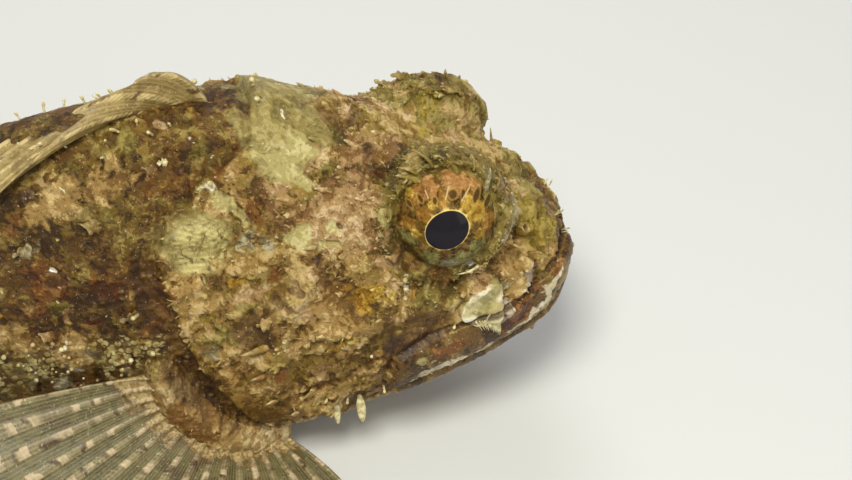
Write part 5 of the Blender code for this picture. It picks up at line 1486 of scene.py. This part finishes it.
# the dorsal spines: length, how far their tips lie round the back, and the tips' height over the skin
DORSAL_SPINES = np.array([
    (7.6, -0.01, 4.4), (13.5, -0.14, 3.2), (16.0, -0.40, 2.4), (19.0, -0.60, 2.2), (20.5, -0.74, 2.1),
    (20.0, -0.80, 2.1), (18.5, -0.80, 2.1), (17.0, -0.78, 2.2), (15.0, -0.74, 2.3), (13.0, -0.68, 2.4),
    (11.5, -0.58, 2.8), (12.0, -0.44, 3.8),
])
DORSAL_FROM, DORSAL_TO = 48.5, 87.5
SOFT_RAYS, SOFT_FROM, SOFT_TO = 9, 89.5, 106.0
ANAL_LENGTHS = [8, 15, 14, 16, 16, 15, 13, 11]
ANAL_FROM, ANAL_TO = 91.0, 105.0
CAUDAL_RAYS, CAUDAL_LENGTH, CAUDAL_SPREAD = 13, 33.13, math.radians(20)
PELVIC_RAYS, PELVIC_S, PELVIC_Y = 6, 53.0, 8.5
FIN_FLOOR = 0.9


def dorsal_rays():
    """The folded dorsal spines, whose tips lie over to one side."""
    rays = []
    for i, (length, turn, height) in enumerate(DORSAL_SPINES):
        s = DORSAL_FROM + (DORSAL_TO - DORSAL_FROM) * i / (len(DORSAL_SPINES) - 1)
        root, out, _ = skin_frame(s, 0.0, head=False)
        middle, middle_out, _ = skin_frame(s + length * 0.5, turn * 0.55, head=False)
        tip, tip_out, _ = skin_frame(s + length, turn, head=False)
        root, middle, tip = root - out * 1.2, middle + middle_out * height * 0.85, tip + tip_out * height
        rays.append([root, 2 * middle - (root + tip) / 2, tip])
    return rays


def soft_dorsal_rays():
    rays = []
    for i in range(SOFT_RAYS):
        share = i / (SOFT_RAYS - 1)
        length = 13 + 6 * math.sin(math.pi * (0.15 + 0.75 * share))
        s = SOFT_FROM + (SOFT_TO - SOFT_FROM) * share
        rays.append(folded_ray(s, length, math.radians(44 - 8 * share), math.radians(8)))
    return rays


def anal_rays():
    rays = []
    for i, length in enumerate(ANAL_LENGTHS):
        share = i / (len(ANAL_LENGTHS) - 1)
        s = ANAL_FROM + (ANAL_TO - ANAL_FROM) * share
        rays.append(folded_ray(s, length, math.radians(24 + 2 * share), 0.0, depth=2.4, top=False))
    return rays


def caudal_rays():
    """The rays of the tail fin."""
    rays = []
    for i in range(CAUDAL_RAYS):
        share = 2 * i / (CAUDAL_RAYS - 1) - 1
        angle = CAUDAL_SPREAD * share
        root = np.array([BODY_END - 5.0, 0.0, 23.0 + 6.0 * share])
        way = np.array([math.cos(angle), 0.0, math.sin(angle)])
        reach = 5.0 + CAUDAL_LENGTH * (1 - 0.10 * share**2)
        rays.append([root, root + way * reach * 0.5 + [0, 0.9, 0], root + way * reach])
    return rays


def pectoral_rays(side):
    """The spread rays of a pectoral fin, from its upper edge down to the floor."""
    rays = []
    for i in range(PECTORAL_RAYS):
        t = i / (PECTORAL_RAYS - 1)
        _, _, _, angle, length, tip_z = pectoral_row(t)
        foot, _, radius = pectoral_foot(side, t)
        angle = math.radians(angle)
        way = np.array([math.cos(angle), side * math.sin(angle), 0.0])
        tip = foot + way * (length + radius)
        tip[2] = tip_z
        leave = angle + FRONT_CURL * t**3
        bend = foot + np.array([math.cos(leave), side * math.sin(leave), 0.0]) * length * 0.45
        bend[2] = foot[2] * 0.72 + tip_z * 0.28 + 1.0
        rays.append([foot - way * 0.5, bend, tip])
    return rays


def pelvic_rays(side):
    """The rays of a pelvic fin, which lie on the floor."""
    rays = []
    for i in range(PELVIC_RAYS):
        share = i / (PELVIC_RAYS - 1)
        angle = math.radians(58 - 46 * share)
        length = 24 + 5 * math.sin(math.pi * (0.2 + 0.6 * share))
        way = np.array([math.cos(angle), side * math.sin(angle), 0.0])
        foot = np.array([PELVIC_S + 6.0 * share, side * (PELVIC_Y - 2.0 * share), 2.6])
        tip = foot + way * length
        tip[2] = FIN_FLOOR
        bend = foot + way * length * 0.4
        bend[2] = 1.6
        rays.append([foot, bend, tip])
    return rays


RAY_COLUMNS, FIN_ROWS, SKIN_DEPTH = 12, 56, 0.5
# how far a ray's two halves part, and then each half's twigs
SPLIT, TWIG = 0.20, 0.085


def build_fin(name, rays, ray_depth, notch, branched, root_depth):
    """A fin as a thin closed sheet. Each ray is a ridge that divides towards its end."""
    rays = np.array(rays, float)
    count = len(rays)
    across = np.linspace(0, count - 1, (count - 1) * RAY_COLUMNS + 1)
    columns = np.stack([[smooth_curve(across, np.arange(count), rays[:, k, axis]) for axis in range(3)]
                        for k in range(3)])
    v = np.linspace(0, 1, FIN_ROWS)
    off = across - np.round(across)
    edge = np.abs(off) * 2
    rag = value_noise(np.stack([across * 2.3, across * 0 + count, across * 0], -1), 1.0, 5) - 0.5
    reach = 1 - notch * smooth_step(0.1, 1.0, edge) * (1 + 0.7 * rag)
    t = (v[None, :] * reach[:, None])[..., None]
    root, bend, tip = (columns[k].T[:, None] for k in range(3))
    p = root * (1 - t)**2 + 2 * bend * t * (1 - t) + tip * t**2
    normal = grid_normals(p, closed=False)
    length = np.linalg.norm(np.diff(p, axis=1, prepend=p[:, :1]), axis=-1).cumsum(axis=1)
    climb = t[..., 0]
    split, twig, width = 0 * climb, 0 * climb, 0.22 - 0.10 * climb
    if branched:
        split, twig = SPLIT * smooth_step(0.40, 0.95, climb), TWIG * smooth_step(0.62, 1.0, climb)
        width = (0.20 - 0.07 * climb) * (1 - 0.45 * smooth_step(0.5, 0.95, climb))
    ridge = bump(np.abs(np.abs(off)[:, None] - split) - twig, width)
    depth = (SKIN_DEPTH + (ray_depth - SKIN_DEPTH) * ridge) * (1 - 0.55 * climb)
    depth = depth + root_depth * (1 - smooth_step(0, 0.2, climb)) * (0.5 + 0.5 * ridge)
    half = normal * depth[..., None] / 2
    ripple = normal * (0.10 * np.sin(across * 5.1)[:, None] * climb)[..., None]
    front, back = p + ripple + half, p + ripple - half
    front[..., 2] = np.maximum(front[..., 2], 0.04)
    back[..., 2] = np.maximum(back[..., 2], 0.02)
    n, m = p.shape[:2]
    top = grid_faces(n, m, False)
    total = n * m
    corner = np.arange(n * m).reshape(n, m)
    loop = np.concatenate([corner[0], corner[1:, -1], corner[-1, -2::-1], corner[-2:0:-1, 0]])
    after = np.roll(loop, -1)
    sides = np.stack([loop, after, total + after, total + loop], -1)
    faces = np.concatenate([top[:, ::-1], total + top, sides])
    number = np.repeat(np.round(across)[:, None], m, axis=1)
    across = np.repeat(across[:, None], m, axis=1)
    field = {"ray": ridge, "along": length, "number": number, "across": across}
    both = {key: np.concatenate([f.ravel(), f.ravel()]) for key, f in field.items()}
    points = world(np.concatenate([front.reshape(-1, 3), back.reshape(-1, 3)]))
    return new_mesh(name, points, faces.tolist(), both)


# the view, the floor and the light

# each lamp: name, place and target in metres, size, power and colour
LAMPS = [
    ("key", (-0.04, -0.22, 0.48), (0.02, 0, 0.02), 0.20, 2.65, (0.99, 0.97, 0.82)),
    ("fill", (0.42, -0.36, 0.28), (0.04, 0, 0.02), 0.35, 0.9, (0.99, 0.96, 0.82)),
    ("rim", (0.10, 0.42, 0.34), (0.03, 0, 0.03), 0.25, 1.05, (1.0, 0.98, 0.94)),
]
SKY_COLOUR, SKY_POWER, FLOOR_HALF = (1.0, 0.99, 0.95, 1), 0.25, 3.0
CAMERA_TURN, CAMERA_RISE = math.radians(-10), math.radians(40)
LENS, SENSOR, DISTANCE = 85.0, 36.0, 0.287
PICTURE_WIDTH, PICTURE_HEIGHT = 852, 480
ANCHOR = np.array([85.5, 0.0, 22.0]) * MM
ANCHOR_PIXEL = (565, 228)


def place_camera():
    """Sets the camera so that the anchor falls on its pixel in the picture."""
    flat = math.cos(CAMERA_RISE)
    back = np.array([math.sin(CAMERA_TURN) * flat, -math.cos(CAMERA_TURN) * flat, math.sin(CAMERA_RISE)])
    right = np.array([math.cos(CAMERA_TURN), math.sin(CAMERA_TURN), 0.0])
    up = np.cross(back, right)
    pixels = LENS / SENSOR * PICTURE_WIDTH
    over = (ANCHOR_PIXEL[0] - PICTURE_WIDTH / 2) / pixels * DISTANCE
    above = -(ANCHOR_PIXEL[1] - PICTURE_HEIGHT / 2) / pixels * DISTANCE
    spot = ANCHOR + back * DISTANCE - right * over - up * above
    data = bpy.data.cameras.new("view")
    data.lens, data.sensor_width, data.clip_start = LENS, SENSOR, 0.01
    camera = bpy.data.objects.new("view", data)
    bpy.context.scene.collection.objects.link(camera)
    camera.matrix_world = Matrix([[right[i], up[i], back[i], spot[i]] for i in range(3)] + [[0, 0, 0, 1]])
    bpy.context.scene.camera = camera


def area_light(name, place, target, size, power, colour):
    """A square lamp that faces its target."""
    data = bpy.data.lights.new(name, "AREA")
    data.energy, data.size, data.color = power, size, colour
    light = bpy.data.objects.new(name, data)
    light.location = place
    light.rotation_euler = (Vector(target) - Vector(place)).to_track_quat("-Z", "Y").to_euler()
    bpy.context.scene.collection.objects.link(light)


def light_studio():
    """Soft daylight from all round, and three lamps."""
    sky = bpy.data.worlds.new("studio")
    sky.use_nodes = True
    background = sky.node_tree.nodes["Background"]
    background.inputs["Color"].default_value = SKY_COLOUR
    background.inputs["Strength"].default_value = SKY_POWER
    bpy.context.scene.world = sky
    for lamp in LAMPS:
        area_light(*lamp)


def build_floor():
    corners = np.array([(-1, -1, 0), (1, -1, 0), (1, 1, 0), (-1, 1, 0)]) * FLOOR_HALF
    floor = new_mesh("floor", corners, [[0, 1, 2, 3]], smooth=False)
    floor.data.materials.append(floor_paint())


def add_skin():
    skin, points, fields = build_skin()
    skin.data.materials.append(skin_paint())
    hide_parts("head", "lower_jaw", "trunk", "tail")
    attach(skin, "root")
    flap_skin = flap_paint("flap_skin", 0.3)
    coats = [flap_paint("spine_skin", 0.5), flap_skin, flap_skin, flap_skin, pale_paint()]
    for piece, material in zip(build_tufts(points, fields), coats):
        piece.data.materials.append(material)
        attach(piece, "root")


def add_eyes():
    gold = eye_paint()
    for side, word in SIDE_WORDS:
        eye = build_eye(side)
        eye.data.materials.append(gold)
        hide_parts("eye_" + word)
        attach(eye, "root")


def add_fins():
    banded = fin_paint("banded_fin", [(116, 94, 46), (152, 130, 76)], (196, 174, 122), (78, 48, 22),
                       spot_length=4.6, opaque=1.0, crust=0.5)
    clear = fin_paint("clear_fin", [(84, 78, 44), (118, 110, 70)], (192, 170, 140), (70, 42, 30),
                      spot_length=4.2, opaque=0.62, crust=5.0)
    # each fin: name, rays, material, a ray's thickness, the edge's notches, divided rays, extra at the root
    fins = [
        ("dorsal_fin_spiny", dorsal_rays(), banded, 1.2, 0.26, False, 0.0),
        ("dorsal_fin_soft", soft_dorsal_rays(), banded, 1.1, 0.12, True, 0.0),
        ("anal_fin", anal_rays(), banded, 1.1, 0.16, True, 0.0),
        ("caudal_fin", caudal_rays(), banded, 1.2, 0.06, True, 2.2),
    ]
    for side, word in SIDE_WORDS:
        fins.append(("pectoral_fin_" + word, pectoral_rays(side), clear, 1.15, 0.09, True, 1.4))
        fins.append(("pelvic_fin_" + word, pelvic_rays(side), clear, 1.1, 0.12, True, 0.8))
    for name, rays, material, *form in fins:
        fin = build_fin(name.replace("fin", "web"), rays, *form)
        fin.data.materials.append(material)
        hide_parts(name)
        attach(fin, "root")


def main():
    add_skin()
    add_eyes()
    add_fins()
    build_floor()
    light_studio()
    place_camera()
    bpy.context.scene.view_settings.view_transform = "Standard"


main()
